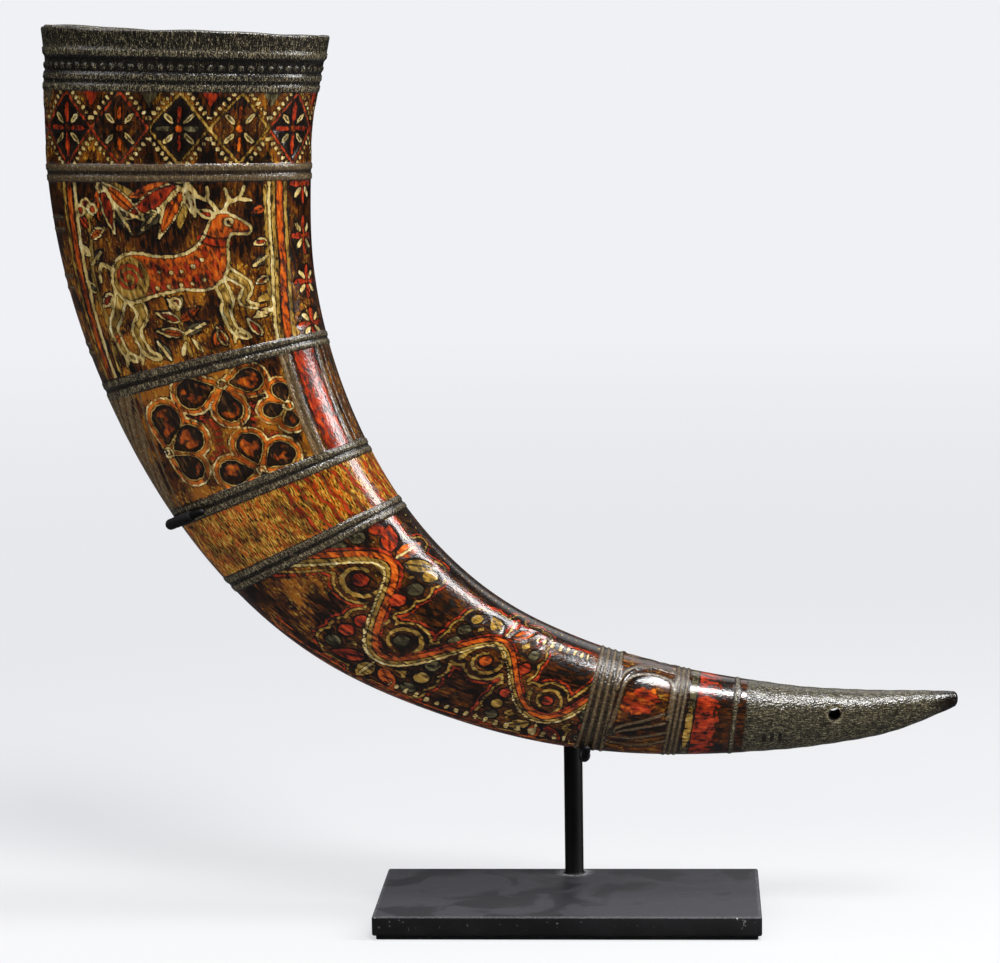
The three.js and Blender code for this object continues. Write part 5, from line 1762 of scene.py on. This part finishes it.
POST_RADIUS, SPINE_RADIUS, SOCKET_DEPTH, SOCKET_CLEARANCE, POST_SIDES = 3.175, 2.4, 10.0, 0.15, 40
post_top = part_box("post")[1].z / MM
socket = SPINE_RADIUS + SOCKET_CLEARANCE
post_profile = np.array([  # radius and height: a bead of paint at the foot, a rounded top, then the socket
    (POST_RADIUS + 0.5, PLATE_TOP + 0.02), (POST_RADIUS + 0.18, PLATE_TOP + 0.2),
    (POST_RADIUS, PLATE_TOP + 0.6), (POST_RADIUS, post_top - 0.4),
    (POST_RADIUS - 0.12, post_top - 0.1), (POST_RADIUS - 0.4, post_top),
    (socket + 0.1, post_top), (socket, post_top - 0.2), (socket, post_top - SOCKET_DEPTH),
])
turn = 2 * np.pi * np.arange(POST_SIDES) / POST_SIDES
circle = np.stack([np.cos(turn), np.sin(turn), 0 * turn], -1)
post_rings = post_profile[:, 0][:, None, None] * circle + np.array([POST_X, POST_Y, 0.0])
post_rings[..., 2] += post_profile[:, 1][:, None]
post = mesh_object("post_painted", *skin_over(post_rings))
dress(post, rod_paint, "stand", "black_paint", "post")

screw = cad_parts["post_screw"]
screw.data.materials.clear()
screw.data.materials.append(steel)

# %% [markdown]
# ## Hooks and spine
# Two thin hooks carry the horn. The upper one comes from behind, goes round the horn's outer edge and ends
# on its front; the lower one runs under the belly. The spine leaves the post's socket, bends, and climbs
# behind the horn. Their paths could be typed, but they follow the horn's own sections, a rod's distance off
# its skin, so that they can't touch it.

# %% Hook and spine paths
HOOK_RADIUS, SLEEVE_INNER, SLEEVE_OUTER, SEAT_GAP = 1.2, 1.3, 1.8, 0.3
RIDGE_HEIGHT = 0.5
HOOK_OUT = RIDGE_HEIGHT + SEAT_GAP + SLEEVE_OUTER
SPINE_OUT = RIDGE_HEIGHT + SEAT_GAP + SPINE_RADIUS
UPPER_BELOW, UPPER_FRONT, UPPER_BACK = 0.8, 13.0, 4.0
LOWER_FRONT, LOWER_OVERHANG = 4.0, 1.5
END_LENGTH, BARE_END, HOOK_STEP, HOOK_SIDES = 1.2, 4.5, 0.7, 20
SLEEVE_RIPPLE, RIPPLE_PACE, SLEEVE_LIP = 0.06, 0.9, 0.2


def round_section(at, start, end, count=160):
    """Points off the outline of one section between two angles, and the section's normal."""
    place = section(np.full(count, at))
    line = on_section(place, np.linspace(start, end, count), HOOK_OUT)
    return line, np.cross(place["across"][0], place["to_back"][0])


def edge_angle(at, reach):
    """Angle past the outer edge at which the outline is a distance in from that edge."""
    return np.arccos((1 - reach / section([at])["half"][0, 0]) ** (SECTION_POWER / 2))


upper_at = AT["ring_3"] + UPPER_BELOW
upper_half = section([upper_at])["half"][0, 0]
upper_start = np.arccos((UPPER_BACK / upper_half) ** (SECTION_POWER / 2))
upper_path, upper_normal = round_section(upper_at, upper_start, np.pi + edge_angle(upper_at, UPPER_FRONT))
upper_path = even_steps(upper_path, HOOK_STEP)

lower_x = POST_X + POST_RADIUS + SEAT_GAP + HOOK_RADIUS
search = np.linspace(AT["ring_4"], AT["ring_7"], 4001)
belly_x = on_section(section(search), np.full(len(search), np.pi), HOOK_OUT)[:, 0]
lower_at = np.interp(lower_x, belly_x, search)
lower_round, lower_normal = round_section(lower_at, np.pi, np.pi + edge_angle(lower_at, LOWER_FRONT))
lower_rear = lower_round[0] * [1, 0, 1] + [0, POST_Y + POST_RADIUS + LOWER_OVERHANG, 0]
lower_path = even_steps(np.concatenate([lower_rear[None], lower_round]), HOOK_STEP)


def hook_pieces(name, path, normal, half_depth):
    """A hook with a rounded end, and the soft sleeve over it short of its bare end."""
    side = np.tile(normal, (len(path), 1))
    rings, along = carried(path, side, HOOK_RADIUS, HOOK_SIDES)
    rod = mesh_object(name + "_painted", *skin_over(dome_end(rings, along, END_LENGTH)))
    dress(rod, rod_paint, "stand", "black_paint", name)
    step = np.arange(len(path))
    covered = (path[:, 1] < half_depth) & (step < len(path) - BARE_END / HOOK_STEP)
    step = np.arange(covered.sum())
    ripple = SLEEVE_RIPPLE * np.sin(step * RIPPLE_PACE) * (step > 2)
    outside, lip, bore = (carried(path[covered], side[covered], radius, HOOK_SIDES)[0]
                          for radius in (SLEEVE_OUTER + ripple, SLEEVE_OUTER - SLEEVE_LIP, SLEEVE_INNER))
    shell = np.concatenate([lip[:1], outside[1:-1], lip[-1:], bore[::-1]])
    cover = mesh_object(name + "_sleeve_tubing", *skin_over(shell, loop=True))
    dress(cover, tubing, "stand", "soft_sleeve", name + "_sleeve")


hook_pieces("upper_hook", upper_path, upper_normal, section([upper_at])["half"][1, 0])
hook_pieces("lower_hook", lower_path, lower_normal, section([lower_at])["half"][1, 0])

# %% Spine
SPINE_RISE, SPINE_RUN, SPINE_SHORT, SPINE_STEP, SPINE_SIDES, SPINE_POINTS = 2.0, 14.0, 5.0, 1.6, 24, 25
spine_end = on_section(section([upper_at]), np.array([np.pi / 2]), SPINE_OUT)[0]
spine_end = spine_end - upper_normal * (HOOK_RADIUS + SEAT_GAP)
centre_x = section(search)["centre"][:, 0]
run_low = np.interp(POST_X - SPINE_RUN, centre_x, search)
way = np.linspace(0, 1, SPINE_POINTS)
run_s = run_low + (upper_at + SPINE_SHORT - run_low) * way
run = on_section(section(run_s), np.full(len(run_s), np.pi / 2), SPINE_OUT)
run[:, 1] = np.maximum(run[:, 1], POST_Y + (spine_end[1] - POST_Y) * way)
foot = np.array([POST_X, POST_Y, post_top - SOCKET_DEPTH + SOCKET_CLEARANCE])
leave = np.array([POST_X, POST_Y, post_top + SPINE_RISE])
heading = (run[1] - run[0]) / np.linalg.norm(run[1] - run[0])
pull = np.linalg.norm(leave - run[0]) / 2
controls = np.stack([leave, leave + [0, 0, pull], run[0] - heading * pull, run[0]])
t = way[:, None]
bezier = np.concatenate([(1 - t) ** 3, 3 * t * (1 - t) ** 2, 3 * t**2 * (1 - t), t**3], 1) @ controls
spine_path = even_steps(np.concatenate([foot[None], bezier, run[1:], spine_end[None]]), SPINE_STEP)
spine_side = np.cross([0.0, 1.0, 0.0], np.gradient(spine_path, axis=0))
spine_rings, along = carried(spine_path, spine_side, SPINE_RADIUS, SPINE_SIDES)
# The last ring is slid along the spine on to a plane square to the hook's normal, where the hook is brazed.
off_plane = (spine_rings[-1] - spine_path[-1]) @ upper_normal
spine_rings[-1] -= along[-1] * (off_plane / (along[-1] @ upper_normal))[:, None]
spine = mesh_object("spine_painted", *skin_over(spine_rings))
dress(spine, rod_paint, "stand", "black_paint", "spine")
